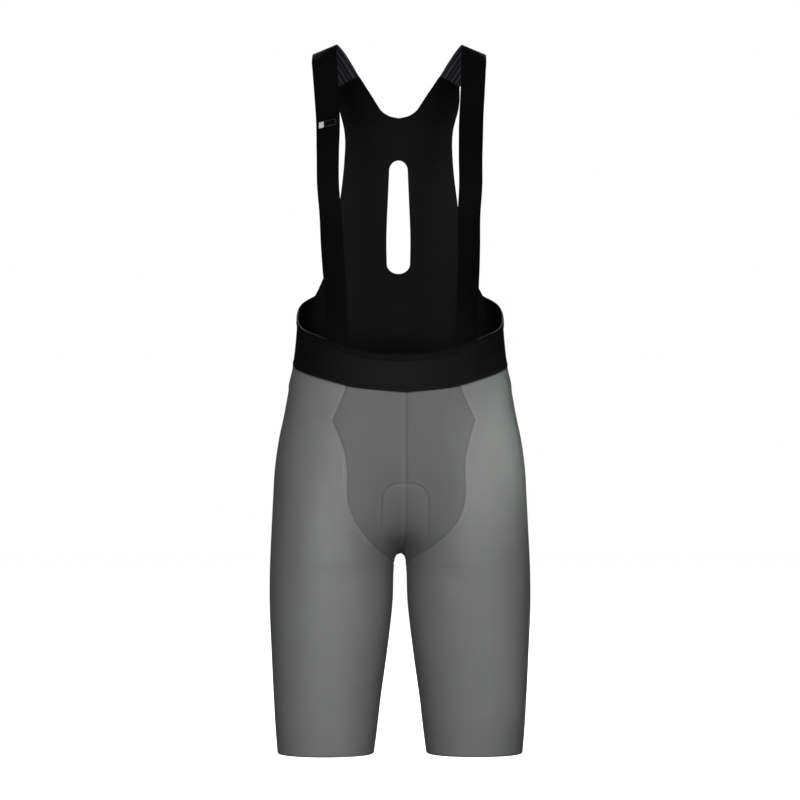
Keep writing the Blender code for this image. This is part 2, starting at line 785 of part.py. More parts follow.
def make_front_panels():
    """Both front panels, which meet at the centre seam and run under the crotch."""
    outer = front_grid()
    inner = inwards(outer, WALL, 0)
    for side, turned in SIDES:
        add_wall(f"front_panel_{side}", turned(outer), turned(inner), "panel_knit")


def make_band():
    """The band round the front and sides, and the binding on its top edge."""
    outer = band_grid()
    add_wall("waistband_front", outer, inwards(outer, WALL), "band_knit")
    strip = binding_grid()
    proud = inwards(strip, -BINDING_RISE)
    add_wall("waistband_binding", proud, inwards(strip, WALL), "binding_tape")


def make_bib_back():
    """The back panel: two halves of one sheet, joined along the middle but for the slot."""
    outer = bib_grid()
    inner = inwards(outer, WALL)
    on_middle = outer[:, 0, 0] < MERGE
    inner[on_middle, 0, 0] = 0.0
    joined = np.flatnonzero(on_middle[:-1] & on_middle[1:])
    faces = wall_faces(*outer.shape[:2], joined=joined)
    half = np.concatenate((outer.reshape(-1, 3), inner.reshape(-1, 3)))
    other = [tuple(corner + len(half) for corner in face) for face in faces]
    add_solid("bib_back", np.concatenate((half, mirrored(half))), faces + other, "back_knit")


def make_straps():
    """Both straps, flat elastic of the wall's thickness."""
    outer = strap_grid()
    face = sheet_normals(outer)
    inner = outer - face * WALL
    for side, turned in SIDES:
        add_wall(f"strap_{side}", turned(outer), turned(inner), "strap_elastic")


def make_label():
    """A plain tag on the outer face of the strap at the image's left."""
    rows = strap_rows()[:, 1]
    steps = np.linalg.norm(np.diff(rows, axis=0), axis=1)
    knots = np.concatenate(([0], steps.cumsum()))
    front = slice(0, len(STRAP_HEIGHTS) + 2)
    centre = curve(np.column_stack((rows[front, 2], knots[front])), LABEL_HEIGHT)
    length = steps.sum()
    along = np.linspace(-1, 1, 4)[:, None] * LABEL_WIDTH / 2
    across = np.linspace(-1, 1, 6)[None] * LABEL_LENGTH / 2
    run = centre + along * math.cos(LABEL_TILT) - across * math.sin(LABEL_TILT)
    side = across * math.cos(LABEL_TILT) + along * math.sin(LABEL_TILT)
    grid = strap_point(run / length, side / (STRAP_WIDTH / 2))
    face = sheet_normals(grid)
    base = grid + face * SEAM_GAP
    top = grid + face * (SEAM_GAP + LABEL_THICKNESS)
    add_wall("strap_label", mirrored(top), mirrored(base), "label_tag")


def make_pad():
    """The seat pad inside the crotch, thin at its rim and full in its middle."""
    grid = pad_grid()
    rows, columns = grid.shape[:2]
    side = np.abs(np.linspace(-1, 1, columns))[None]
    along = np.abs(np.linspace(-1, 1, rows))[:, None]
    fullness = (1 - side**6) * (1 - along**8)
    depth = PAD_EDGE + (PAD_THICKNESS - PAD_EDGE) * fullness
    clear = WALL + PAD_CLEAR
    outer = grid - normals(grid) * clear
    inner = grid - normals(grid) * (clear + depth)[..., None]
    add_wall("seat_pad", outer, inner, "pad_foam")


def main():
    for old in list(bpy.data.objects):
        bpy.data.objects.remove(old, do_unlink=True)
    make_legs()
    make_front_panels()
    make_band()
    make_bib_back()
    make_straps()
    make_label()
    make_pad()


main()
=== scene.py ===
"""Bib shorts in grey and black knit, filled out as if worn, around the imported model.

Every cloth piece is a grid of points on one smooth surface: the zero level of a field made
from two leg sections and a seat, which the short tables below give in millimetres. The grid
is moved along the surface's normals by the low relief of seams, hems and creases, and a thin
wall is worked inwards from it. Threads are small bars laid along lines of the same grids.

Metres, +Z up, the front faces -Y. The origin is midway under the two straps' tops.
"""

import math

import bmesh
import bpy
import numpy as np
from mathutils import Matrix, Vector


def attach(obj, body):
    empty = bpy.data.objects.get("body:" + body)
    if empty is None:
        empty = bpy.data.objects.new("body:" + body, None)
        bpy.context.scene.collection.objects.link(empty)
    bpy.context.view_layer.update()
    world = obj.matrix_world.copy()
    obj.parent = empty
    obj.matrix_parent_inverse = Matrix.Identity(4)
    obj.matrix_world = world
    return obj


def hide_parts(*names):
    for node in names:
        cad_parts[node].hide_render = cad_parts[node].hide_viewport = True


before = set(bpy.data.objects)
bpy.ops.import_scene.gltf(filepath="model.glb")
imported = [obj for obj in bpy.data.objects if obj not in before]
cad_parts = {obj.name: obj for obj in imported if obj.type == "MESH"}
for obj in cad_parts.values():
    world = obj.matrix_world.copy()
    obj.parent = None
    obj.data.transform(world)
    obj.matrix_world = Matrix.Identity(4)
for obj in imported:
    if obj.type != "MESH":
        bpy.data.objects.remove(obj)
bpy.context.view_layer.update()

MM = 0.001

# The cloth: its wall, the gaps of the solids' seams, how far edges are drawn out over their
# neighbours and over what width, their roundness, and how low a lap's underside lies.
WALL = 1.3 * MM
SEAM_GAP = 0.3 * MM
LAP = 1.5 * MM
FRONT_OVER = 1.2 * MM
WAIST_LAP = 0.85 * MM
STRAP_LAP = np.array((0.7, 1.5, 2.3, 3.1, 4.0)) * MM
LAP_REACH = 6.0 * MM
LAP_EDGE = 0.3 * MM
LAP_UNDER = 0.05 * MM
LAP_START = 0.2 * MM
CUT_EDGE = 0.6 * MM

# Turned edges: the height and the width of each one's double cloth.
LEG_EDGE = (0.35 * MM, 5.0 * MM)
SEAT_EDGE = (0.4 * MM, 4.0 * MM)
CENTRE_EDGE = (0.5 * MM, 3.6 * MM)
WAIST_EDGE = (0.5 * MM, 4.5 * MM)
WAIST_END = (0.45 * MM, 4.0 * MM)
SIDE_EDGE = (0.35 * MM, 7.0 * MM)
SLOT_EDGE = (0.35 * MM, 5.0 * MM)
FOOT_EDGE = (0.45 * MM, 4.5 * MM)

# An edge under a neighbour's lap: how deep it is sunk, and where and how softly that ends.
SUNK = 0.4 * MM
SUNK_EDGE = 1.2 * MM
SUNK_SOFT = 2.4 * MM

# The hem's gripper, the bead beside the hem, and the hollow down the middle of the seat.
GRIPPER = 58.0 * MM
GRIPPER_STEP = 0.16 * MM
HEM_BEAD = 0.18 * MM
SEAT_FOLD_DEPTH = 3.0 * MM
SEAT_FOLD_WIDTH = 15.0 * MM
SEAT_FOLD_LOW = -668.0 * MM
SEAT_FOLD_HIGH = -480.0 * MM

BINDING_WIDTH = 6.0 * MM
BINDING_RISE = 0.4 * MM
BINDING_BEAD = 0.5 * MM
STRAP_WIDTH = 33.0 * MM
STRAP_DEPTH = 2.0 * MM
STRAP_RISE = 0.5 * MM

# The blank tag: its size and place, and how it is tilted, moved outwards and stretched.
LABEL_LENGTH = 25.0 * MM
LABEL_WIDTH = 10.0 * MM
LABEL_HEIGHT = -102.0 * MM
LABEL_TILT = math.radians(15.0)
LABEL_OUTWARD = 0.6 * MM
LABEL_STRETCH = 1.15
LABEL_TOP = 0.75 * MM
LABEL_UNDER = 0.1 * MM

# Threads: their radius, and the length of a stitch on cloth and on tape.
THREAD = 0.2 * MM
STITCH = 2.7 * MM
TAPE_STITCH = 2.4 * MM
ZIGZAG = 1.9 * MM
ZIGZAG_WIDTH = 4.0 * MM
STITCH_GAP = 0.12

# How far the rows of stitches lie from the edges that they hold.
FRONT_SEAM_ROW = 3.5 * MM
INSEAM_ROW = 2.8 * MM
SEAT_ROW = 2.4 * MM
CENTRE_ROW = 2.5 * MM
BAND_ROW = 3.1 * MM
BAND_END_ROW = 2.8 * MM
BINDING_ROW = 1.3 * MM
SIDE_ROW = 4.9 * MM
SLOT_ROW = 3.5 * MM
TAB_STITCHES = (1.2 * MM, 3.2 * MM)

# How finely the cloth is drawn.
LEG_COLUMNS = 190
LEG_STEP = 3.2 * MM
FRONT_STEP = 2.2 * MM
EDGE_STEP = 4.0 * MM
GUSSET_STEP = 8.0 * MM
GUSSET_ROWS = 14
FRONT_COLUMNS = 44
TIP_ROWS = 44
BAND_COLUMNS = 320
BAND_ROWS = 22
BINDING_ROWS = 13
BACK_COLUMNS = 56
BACK_STEP = 3.0 * MM
BACK_FOOT_ROWS = 26
BACK_NECK_ROWS = 34
SLOT_END_ROWS = 12
STRAP_ROWS = 280
STRAP_COLUMNS = 22
LABEL_ROWS = 15
LABEL_COLUMNS = 31
PAD_ROWS = 90
PAD_COLUMNS = 60

# How strongly rows and columns crowd towards both ends: over a whole panel, over one with a
# plainer edge, and where only one end is an edge.
CROWD = 0.86
CROWD_LESS = 0.8
CROWD_LEAST = 0.6

# The body's sections by height, as in the solids: centre and inner are how far a leg's
# middle and inner side stand from the garment's middle; blend rounds the fold between legs.
SECTION_COLUMNS = ("height", "centre", "outer", "inner", "front", "back", "blend")
SECTIONS = (
    (0, 0, 186, -186, -2, 4, 0),
    (-20, 0, 186, -186, -16, 25, 0),
    (-45, 0, 185, -185, -35, 46, 0),
    (-86, 0, 181, -181, -60, 66, 0),
    (-120, 0, 178, -178, -81, 75, 0),
    (-160, 0, 172, -172, -103, 82, 0),
    (-190, 0, 166, -166, -114, 84, 0),
    (-253, 0, 150, -150, -113, 85, 0),
    (-311, 0, 140, -140, -107, 86, 0),
    (-351, 0, 136.8, -136.8, -105, 88, 0),
    (-392, 0, 139.0, -139.0, -107, 92, 0),
    (-425, 0, 143.2, -143.2, -110, 97, 0),
    (-452, 0, 148.0, -148.0, -112, 102, 0),
    (-485, 14, 154.0, -133, -114, 109, 5),
    (-518, 34, 161.0, -112, -115, 117, 12),
    (-559, 55, 166.6, -82, -113.6, 127.0, 20),
    (-598, 70, 168.9, -50, -111.0, 130.0, 24),
    (-638, 82, 170.9, -16, -107.6, 124.5, 24),
    (-655, 86, 171.7, 0, -106.0, 120.0, 20),
    (-667, 88, 172.2, 5.5, -104.9, 116.5, 16),
    (-684, 90, 172.8, 8.2, -103.2, 111.2, 14),
    (-731, 92, 173.3, 10.2, -98.8, 98.0, 14),
    (-798, 94.5, 170.8, 17.6, -91.5, 84.0, 14),
    (-864, 97, 167.6, 26.7, -83.3, 74.3, 14),
    (-905, 98.4, 165.0, 31.6, -77.6, 69.0, 14),
    (-934, 99, 162.6, 35.4, -73.5, 65.5, 14),
)
OVAL_POWER = 2.15
LEG_AXIS = 60.0 * MM
SEAT_CENTRE = (0.0, 5.0 * MM, -560.0 * MM)
SEAT_RADII = (78.0 * MM, 117.0 * MM, 98.0 * MM)
SEAT_BLEND = 20.0 * MM
SEAT_TOP = -452.0 * MM

# Heights of the waist's seam and of the band's top edge, by the angle from the centre front.
BAND_SEAM = (
    (0, -454.4),
    (25, -448.6),
    (43, -437.6),
    (78, -421.4),
    (90, -417.5),
    (135, -409.5),
    (180, -407.5),
)
BAND_TOP = (
    (0, -406.7),
    (16.5, -404.0),
    (31.5, -395.2),
    (51, -381.0),
    (69, -371.5),
    (90, -355.0),
    (110, -337.5),
    (124, -328.0),
)

# The angle from the centre front at which the band meets the back panel's wings.
WING_ANGLE = 124.0

# Half width of the two front panels together, by height; the second row is the corner.
FRONT_SEAM = (
    (-447.0, 75.5),
    (-492.0, 93.7),
    (-512.0, 85.6),
    (-538.0, 78.0),
    (-562.0, 75.8),
    (-585.0, 76.0),
    (-606.0, 72.5),
    (-628.0, 62.5),
    (-646.0, 48.0),
    (-660.5, 33.5),
    (-672.0, 18.5),
)
HEM = -934.0 * MM
GUSSET_LOW = -684.0 * MM
GUSSET_TIP = -648.0 * MM
GUSSET_TIP_HALF = 1.5 * MM

# The back panel: half width by height, neckline, shoulder tab and slot.
BIB_EDGE = (
    (-328.0, 114.0),
    (-309.0, 105.0),
    (-285.0, 95.5),
    (-255.0, 87.5),
    (-225.0, 82.5),
    (-195.0, 79.0),
    (-168.0, 75.6),
    (-141.0, 73.2),
    (-114.0, 72.4),
    (-100.0, 73.9),
    (-88.0, 76.8),
    (-77.0, 79.8),
    (-66.0, 81.4),
    (-45.3, 81.2),
)
NECKLINE = (
    (0.0, -85.8),
    (13.4, -82.6),
    (22.4, -77.1),
    (30.2, -66.6),
    (36.9, -56.2),
    (44.2, -45.9),
    (51.1, -35.7),
    (54.8, -31.0),
)
TAB_OUTER = (81.2, -45.3)
TAB_SHARE = 0.27
SLOT_WIDTH = ((-142.0, 12.0), (-168.0, 13.0), (-195.0, 14.2), (-249.0, 16.2), (-295.0, 15.4))
SLOT_TOP = -142.0 * MM
SLOT_BOTTOM = -295.0 * MM
SLOT_END = 13.0 * MM

# The strap: its middle line on the chest, then points over the shoulder to the tab with
# how far its outer edge lies from its inner edge along x, y and z.
STRAP_LINE = (
    (-428.0, 84.5),
    (-392.0, 85.5),
    (-330.0, 87.6),
    (-253.0, 90.0),
    (-190.0, 91.6),
    (-120.0, 95.0),
)
STRAP_HEIGHTS = (-428, -400, -365, -330, -290, -253, -222, -190, -155, -120)
STRAP_DIVES_FROM = -300.0 * MM
STRAP_DIVE = 60.0 * MM
SHOULDER = (
    (96.2, -52.0, -88.0, 32.0, 8.0, -1.0),
    (97.8, -36.5, -56.0, 32.5, 5.0, -2.0),
    (99.3, -22.5, -29.0, 33.0, 3.0, -4.0),
    (100.3, -11.0, -10.0, 33.0, 3.0, -8.0),
    (99.5, 0.5, 0.8, 31.0, 5.0, -12.5),
    (90.5, 14.0, -6.5, 29.5, 8.0, -13.5),
    (79.5, 26.5, -21.0, 28.0, 9.0, -14.5),
)

# How far each strap hangs towards -X of the solids' even ones, by height: the -X one's outer
# edge and inner edge, then the +X one's outer edge and inner edge. It ends behind the shoulder.
STRAP_SWAY = (
    (0, 0.8, 0.8, 2.6, 2.6),
    (-68, 0.5, 0.5, 2.7, 2.7),
    (-107, 0.3, 1.3, 3.3, 3.8),
    (-146, 2.0, 4.4, 3.1, 3.1),
    (-186, 3.8, 6.2, 1.6, 1.6),
    (-225, 2.2, 4.0, 2.6, 2.6),
    (-265, 1.8, 1.8, 1.2, 1.2),
    (-320, 0, 0, 0, 0),
)
SWAY_END = 20.0 * MM

# How far the front's panels are turned towards +X of the solids' even ones, by height: at
# the -X seam, at the middle and at the +X seam. From a little beyond the seams the turn fades
# out towards the sides and the back, and it follows the surface up to its steepest slope.
FRONT_TURN = (
    (-425, 0, 0, 0),
    (-447, 2.6, 3.0, 0.2),
    (-460, 3.6, 3.9, 0.5),
    (-492, 3.4, 3.9, 2.6),
    (-538, 4.0, 3.9, 5.2),
    (-597, 3.9, 4.0, 7.2),
    (-637, 3.4, 4.0, 6.3),
    (-652, 2.2, 3.0, 4.2),
    (-668, 0.4, 0.5, 0.7),
    (-677, 0, 0, 0),
)
TURN_SEAM = 75.0 * MM
TURN_FADE = 81.0 * MM
TURN_END = 122.0 * MM
TURN_BACK = 8.0 * MM
TURN_BACK_SOFT = 30.0 * MM
TURN_SLOPE = 1.5
TURN_FACING = -0.1

# Half width of the seat pad along its middle line, from the front end to the back end.
PAD_WIDTH = (
    (0.0, 15.0),
    (0.03, 27.5),
    (0.09, 32.5),
    (0.25, 35.0),
    (0.45, 38.0),
    (0.62, 52.0),
    (0.8, 68.0),
    (0.92, 62.0),
    (1.0, 38.0),
)
PAD_FRONT_HEIGHT = -574.0 * MM
PAD_BACK_HEIGHT = -545.0 * MM

# How thick the pad is in its middle and at its rim, and how far below the surface it lies.
PAD_THICKNESS = 7.0 * MM
PAD_EDGE = 1.5 * MM
PAD_CLEAR = 3.8 * MM

# Channels pressed along the pad: place and width as shares of its half width, and depth as a
# share of its crown's.
PAD_CHANNELS = ((0.0, 0.07, 0.5), (0.55, 0.05, 0.4))

# The pad's front outline as it shows through the front panels: half its width, its round
# corners, how far down its seam shows, and how high and over what width it swells the cloth.
PAD_HALF = 30.0 * MM
PAD_CORNER = 22.0 * MM
PAD_SEEN = 64.0 * MM
PAD_PRESS = 1.3 * MM
PAD_SHOULDER = 7.0 * MM
PAD_FADE_LOW = -690.0 * MM
PAD_FADE = 60.0 * MM

# Rays to the surface: their length, their steps and how often a step is halved, and how far
# apart the field is read for its slope.
RAY_REACH = 260.0 * MM
RAY_STEPS = 66
HALVINGS = 18
SLOPE_STEP = 0.5 * MM


def curve(rows, at, column=1):
    """A smooth curve through the rows of a table, read at any value of its first column.

    Each span is a cubic whose slopes at its two ends are the mean slopes of the table there.
    """
    table = np.array(rows, dtype=float)
    table = table[np.argsort(table[:, 0])]
    knots = table[:, 0]
    values = table[:, column]
    slopes = np.gradient(values, knots)
    at = np.clip(np.asarray(at, dtype=float), knots[0], knots[-1])
    span = np.clip(np.searchsorted(knots, at, side="right") - 1, 0, len(knots) - 2)
    width = knots[span + 1] - knots[span]
    t = (at - knots[span]) / width
    rise = t * t * (3 - 2 * t)
    leave = t * (1 - t) ** 2 * width * slopes[span]
    arrive = t * t * (t - 1) * width * slopes[span + 1]
    return values[span] * (1 - rise) + values[span + 1] * rise + leave + arrive


TABLE_HEIGHTS = np.linspace(-0.96, 0.0, 1921)
TABLE = {
    name: curve(SECTIONS, TABLE_HEIGHTS / MM, column) * MM
    for column, name in enumerate(SECTION_COLUMNS)
}


def section(name, z):
    """One column of the body's table at any heights, both in metres."""
    return np.interp(z, TABLE_HEIGHTS, TABLE[name])


def soft_min(a, b, blend):
    """The smaller of two distances, with the corner between them rounded over blend."""
    blend = np.maximum(blend, 1e-6)
    overlap = np.maximum(blend - np.abs(a - b), 0) / blend
    return np.minimum(a, b) - overlap * overlap * blend / 4


def leg_field(x, y, z):
    """About how far a point is outside the leg on the +X side."""
    centre = section("centre", z)
    across = x - centre
    half = np.where(across > 0, section("outer", z) - centre, centre - section("inner", z))
    front = section("front", z)
    back = section("back", z)
    depth = (back - front) / 2
    along = y - (front + back) / 2
    oval = np.abs(across / half) ** OVAL_POWER + np.abs(along / depth) ** OVAL_POWER
    return (oval ** (1 / OVAL_POWER) - 1) * np.minimum(half, depth)


def field(points):
    """About how far points are outside the garment's surface, negative inside it."""
    x = points[..., 0]
    y = points[..., 1]
    z = points[..., 2]
    legs = soft_min(leg_field(x, y, z), leg_field(-x, y, z), section("blend", z))
    seat = (points - np.array(SEAT_CENTRE)) / np.array(SEAT_RADII)
    egg = (np.sqrt((seat**2).sum(axis=-1)) - 1) * min(SEAT_RADII)
    return np.where(z < SEAT_TOP, soft_min(legs, egg, SEAT_BLEND), legs)


def unit(vectors):
    """Vectors scaled to a length of one."""
    return vectors / np.linalg.norm(vectors, axis=-1, keepdims=True)


def normals(points):
    """Unit vectors out of the surface, from the field's slope along each axis."""
    steps = SLOPE_STEP * np.eye(3)
    slope = [field(points + step) - field(points - step) for step in steps]
    return unit(np.stack(slope, axis=-1))


def cast(origins, directions):
    """The first points where rays from inside leave the surface, by halving."""
    steps = np.linspace(0, RAY_REACH, RAY_STEPS)
    track = origins[..., None, :] + directions[..., None, :] * steps[:, None]
    outside = field(track) > 0
    first = np.maximum(outside.argmax(axis=-1), 1)
    near = steps[first - 1]
    far = steps[first]
    for _ in range(HALVINGS):
        middle = (near + far) / 2
        out = field(origins + directions * middle[..., None]) > 0
        far = np.where(out, middle, far)
        near = np.where(out, near, middle)
    return origins + directions * far[..., None]


def settle(points, rounds=5):
    """Points near the surface, moved onto it along the field's slope."""
    for _ in range(rounds):
        points = points - normals(points) * field(points)[..., None]
    return points


def lengths(path):
    """How far along a path of points each of its points lies."""
    steps = np.linalg.norm(np.diff(path, axis=0), axis=1)
    return np.concatenate(([0], steps.cumsum()))


def stack(*columns):
    """Columns of coordinates, joined into points."""
    return np.stack(np.broadcast_arrays(*columns), axis=-1).astype(float)


def leg_axis(z):
    """The line inside the leg that its rays start from."""
    middle = (section("front", z) + section("back", z)) / 2
    return stack(np.maximum(section("centre", z), LEG_AXIS), middle, z)


def on_side(x, z, facing):
    """Surface points at given x and height, on the front (facing -1) or the back (+1)."""
    middle = (section("front", z) + section("back", z)) / 2
    origins = stack(x, middle, z)
    return cast(origins, np.broadcast_to((0.0, facing, 0.0), origins.shape))


def angle_of(points):
    """The angle of surface points about the leg's axis, from the outer side."""
    axis = leg_axis(points[..., 2])
    return np.arctan2(points[..., 1] - axis[..., 1], points[..., 0] - axis[..., 0])


def at_angle(angle, z):
    """Surface points at an angle about the leg's axis."""
    origins = leg_axis(z)
    return cast(origins, stack(np.cos(angle), np.sin(angle), np.zeros_like(origins[..., 0])))


def ring_point(degrees, z):
    """Points on the waist at given heights, by the oval's own angle from the centre front:
    its sine is the share of the half width, its cosine the share of the half depth."""
    angle = np.radians(degrees)
    middle = (section("front", z) + section("back", z)) / 2
    depth = (section("back", z) - section("front", z)) / 2
    origins = stack(np.zeros_like(middle), middle, z)
    heading = stack(section("outer", z) * np.sin(angle), -depth * np.cos(angle), 0.0 * z)
    return cast(origins, unit(heading))


def band_seam(degrees):
    """Height of the seam under the band and back panel."""
    return curve(BAND_SEAM, np.abs(degrees)) * MM


def front_seam_x(z):
    """Half width of the front panels: straight down to the corner, then a smooth curve. It is
    a lap wider than the solids, so that the lapped edge which shows lies on their seam."""
    below = curve(FRONT_SEAM[1:], z / MM)
    (top, top_half), (corner, corner_half) = FRONT_SEAM[:2]
    above = np.interp(z / MM, (corner, top), (corner_half, top_half))
    lap = LAP * eased(z, FRONT_SEAM[-1][0] * MM, 30 * MM)
    return np.where(z / MM > corner, above, below) * MM + lap


def seam_angle():
    """Where the front panels' seam meets the band, as an angle from the centre front."""
    top, half = FRONT_SEAM[0]
    point = on_side(np.array(half * MM + LAP), np.array(top * MM), -1.0)
    front = section("front", point[2])
    back = section("back", point[2])
    across = point[0] / section("outer", point[2])
    along = (front + back - 2 * point[1]) / (back - front)
    return math.degrees(math.atan2(across, along))


def smooth(t):
    """A soft step from 0 to 1 as t goes from 0 to 1: three t squared less two t cubed."""
    t = np.clip(t, 0, 1)
    return t * t * (3 - 2 * t)


def eased(at, start, width):
    """A soft step from 0 at a start to 1 at a width beyond it."""
    return smooth((at - start) / width)


def spaced(stops, step):
    """Even steps from stop to stop, none longer than step."""
    spans = [
        np.linspace(a, b, math.ceil(abs(b - a) / step), endpoint=False)
        for a, b in zip(stops[:-1], stops[1:], strict=True)
    ]
    return np.concatenate((*spans, stops[-1:]))


def crowded(count, crowd=CROWD):
    """Shares from 0 to 1 that stand closer near both ends: t less a part of one sine wave."""
    t = np.linspace(0, 1, count)
    return t - crowd * np.sin(2 * np.pi * t) / (2 * np.pi)


def leg_rows():
    """Heights of the leg's rows. Above the lowest point of the gusset seam they stand apart
    as squares, which spaces the seam's round turn evenly."""
    top, corner, last_front = (FRONT_SEAM[row][0] * MM for row in (0, 1, -1))
    below = spaced((HEM, HEM + EDGE_STEP, GUSSET_LOW - GUSSET_STEP, GUSSET_LOW), LEG_STEP)
    turn = GUSSET_LOW + (last_front - GUSSET_LOW) * np.linspace(0, 1, GUSSET_ROWS) ** 2
    above = spaced((last_front, GUSSET_TIP, corner, top - EDGE_STEP, top), FRONT_STEP)
    return np.concatenate((below[:-1], turn[:-1], above))


def gusset_curve(rows):
    """The seam between a leg and its front panel, as points from the band down the front,
    under the crotch and up to the tip at the back, and the place of its lowest point."""
    last_front = FRONT_SEAM[-1][0] * MM
    front_z = rows[rows >= last_front - 1e-9][::-1]
    front = on_side(front_seam_x(front_z), front_z, -1.0)
    front[0] = ring_point(seam_angle(), band_seam(seam_angle()))
    turn_z = rows[(rows < last_front - 1e-9) & (rows > GUSSET_LOW + 1e-9)][::-1]
    share = np.sqrt((turn_z - GUSSET_LOW) / (last_front - GUSSET_LOW))
    turn = at_angle(-math.pi + share * (math.pi + angle_of(front[-1])), turn_z)
    low = at_angle(np.array([math.pi]), np.array([GUSSET_LOW]))
    rise_z = rows[(rows > GUSSET_LOW + 1e-9) & (rows < GUSSET_TIP - 1e-9)]
    tip = on_side(np.array([GUSSET_TIP_HALF]), np.array([GUSSET_TIP]), 1.0)
    share = np.sqrt((rise_z - GUSSET_LOW) / (GUSSET_TIP - GUSSET_LOW))
    rise = at_angle(math.pi - share * (math.pi - angle_of(tip)), rise_z)
    return np.concatenate((front, turn, low, rise, tip)), len(front) + len(turn)


def towards_panel(seam):
    """Unit vectors in the surface, square to the front panel's seam, into that panel."""
    aside = unit(np.cross(normals(seam), np.gradient(seam, axis=0)))
    return aside if aside[0, 0] < 0 else -aside


def waist_share(heights):
    """How far rows follow the waist's slope: not at all low down, wholly at the top."""
    low = -600 * MM
    return eased(heights, low, FRONT_SEAM[0][0] * MM - low)


def leg_grid():
    """The +X leg: rows from the hem to the band, columns from the front seam, or from the
    inseam below the crotch, round the outside to the centre back."""
    rows = leg_rows()
    seam, low = gusset_curve(rows)
    seam = seam - towards_panel(seam) * SEAM_GAP / 2
    even = crowded(LEG_COLUMNS)
    degrees = seam_angle() + (180 - seam_angle()) * even
    waist = ring_point(degrees, band_seam(degrees))
    turn = np.unwrap(angle_of(waist))
    turn = (turn - turn[0]) / (turn[-1] - turn[0])
    crotch = int(np.flatnonzero(np.isclose(rows, GUSSET_LOW))[0])
    lift = waist_share(rows)[:, None]
    heights = rows[:, None] + lift * (waist[:, 2] - waist[0, 2])
    share = even + lift * (turn - even)
    above = np.arange(1, len(rows) - crotch)
    first = seam[low - above]
    risen = above[low + above < len(seam)]
    last = on_side(np.full(len(above), SEAM_GAP / 2), heights[crotch + 1 :, -1], 1.0)
    last[: len(risen)] = seam[low + risen]
    start = np.full(len(rows), -math.pi)
    end = np.full(len(rows), math.pi)
    start[crotch + 1 :] = angle_of(first)
    end[crotch + 1 :] = angle_of(last)
    grid = at_angle(start[:, None] + share * (end - start)[:, None], heights)
    grid[crotch + 1 :, 0] = first
    grid[crotch + 1 :, -1] = last
    grid[-1] = waist
    grid[-1, 0] = seam[0]
    grid[-1, -1, 0] = SEAM_GAP / 2
    grid[-1, :, 2] -= SEAM_GAP / 2
    inseam = unit(grid[: crotch + 1, 1] - grid[: crotch + 1, 0])
    grid[: crotch + 1, 0] += inseam * SEAM_GAP / 2
    grid[: crotch + 1, -1] -= inseam * SEAM_GAP / 2
    return grid, crotch


def front_grid():
    """The +X front panel: rows from the band down and under to the tip at the back, columns
    from the centre seam to the leg's seam."""
    seam, low = gusset_curve(leg_rows())
    outer = seam + towards_panel(seam) * SEAM_GAP / 2
    count = int((seam[:low, 2] > SEAT_CENTRE[2] - 3 * MM).sum())
    heights = seam[:count, 2]
    drop = band_seam(0.0) - heights[0]
    upper = on_side(np.full(count, SEAM_GAP / 2), heights + waist_share(heights) * drop, -1.0)
    run = lengths(seam[count - 1 :])[1:]
    start = math.atan2(SEAT_CENTRE[2] - upper[-1, 2], SEAT_CENTRE[1] - upper[-1, 1])
    tip = seam[-1]
    end = math.pi - math.atan2(SEAT_CENTRE[2] - tip[2], tip[1] - SEAT_CENTRE[1])
    turn = start + (end - start) * run / run[-1]
    origins = np.broadcast_to((SEAM_GAP / 2, SEAT_CENTRE[1], SEAT_CENTRE[2]), (len(turn), 3))
    under = cast(origins.copy(), stack(np.zeros_like(turn), -np.cos(turn), -np.sin(turn)))
    inner = np.concatenate((upper, under))
    share = crowded(FRONT_COLUMNS)[None, :, None]
    grid = settle(inner[:, None] * (1 - share) + outer[:, None] * share)
    degrees = seam_angle() * crowded(FRONT_COLUMNS)
    grid[0, :-1] = ring_point(degrees, band_seam(degrees))[:-1]
    grid[:, -1] = outer
    grid[:, 0, 0] = SEAM_GAP / 2
    grid[0, :, 2] -= SEAM_GAP / 2
    return grid


def band_grid():
    """The band: rows from the waist's seam up to the binding, columns from wing to wing."""
    degrees = WING_ANGLE * np.linspace(-1, 1, BAND_COLUMNS)
    bottom = band_seam(degrees) + SEAM_GAP / 2 - WAIST_LAP
    top = curve(BAND_TOP, np.abs(degrees)) * MM - BINDING_WIDTH
    share = crowded(BAND_ROWS)[:, None]
    heights = bottom * (1 - share) + top * share
    grid = ring_point(np.broadcast_to(degrees, heights.shape), heights)
    return shortened(grid, SEAM_GAP / 2)


def binding_grid():
    """The binding: a strip over the band's last row, columns from wing to wing."""
    degrees = WING_ANGLE * np.linspace(-1, 1, BAND_COLUMNS)
    top = curve(BAND_TOP, np.abs(degrees)) * MM
    share = crowded(BINDING_ROWS)[:, None]
    heights = top - (BINDING_WIDTH + LAP) * (1 - share)
    grid = ring_point(np.broadcast_to(degrees, heights.shape), heights)
    return shortened(grid, SEAM_GAP / 2)


def shortened(grid, by):
    """A grid whose first and last columns are drawn in along its rows."""
    grid = grid.copy()
    grid[:, 0] += unit(grid[:, 1] - grid[:, 0]) * by
    grid[:, -1] += unit(grid[:, -2] - grid[:, -1]) * by
    return grid


def slot_half(z):
    """Half width of the slot at a height, with round ends, and nothing beyond them."""
    wide = curve(SLOT_WIDTH, z / MM) * MM
    depth = np.clip(np.minimum(SLOT_TOP - z, z - SLOT_BOTTOM), 0, SLOT_END)
    return wide * np.sqrt(np.clip(1 - (1 - depth / SLOT_END) ** 2, 0, 1))


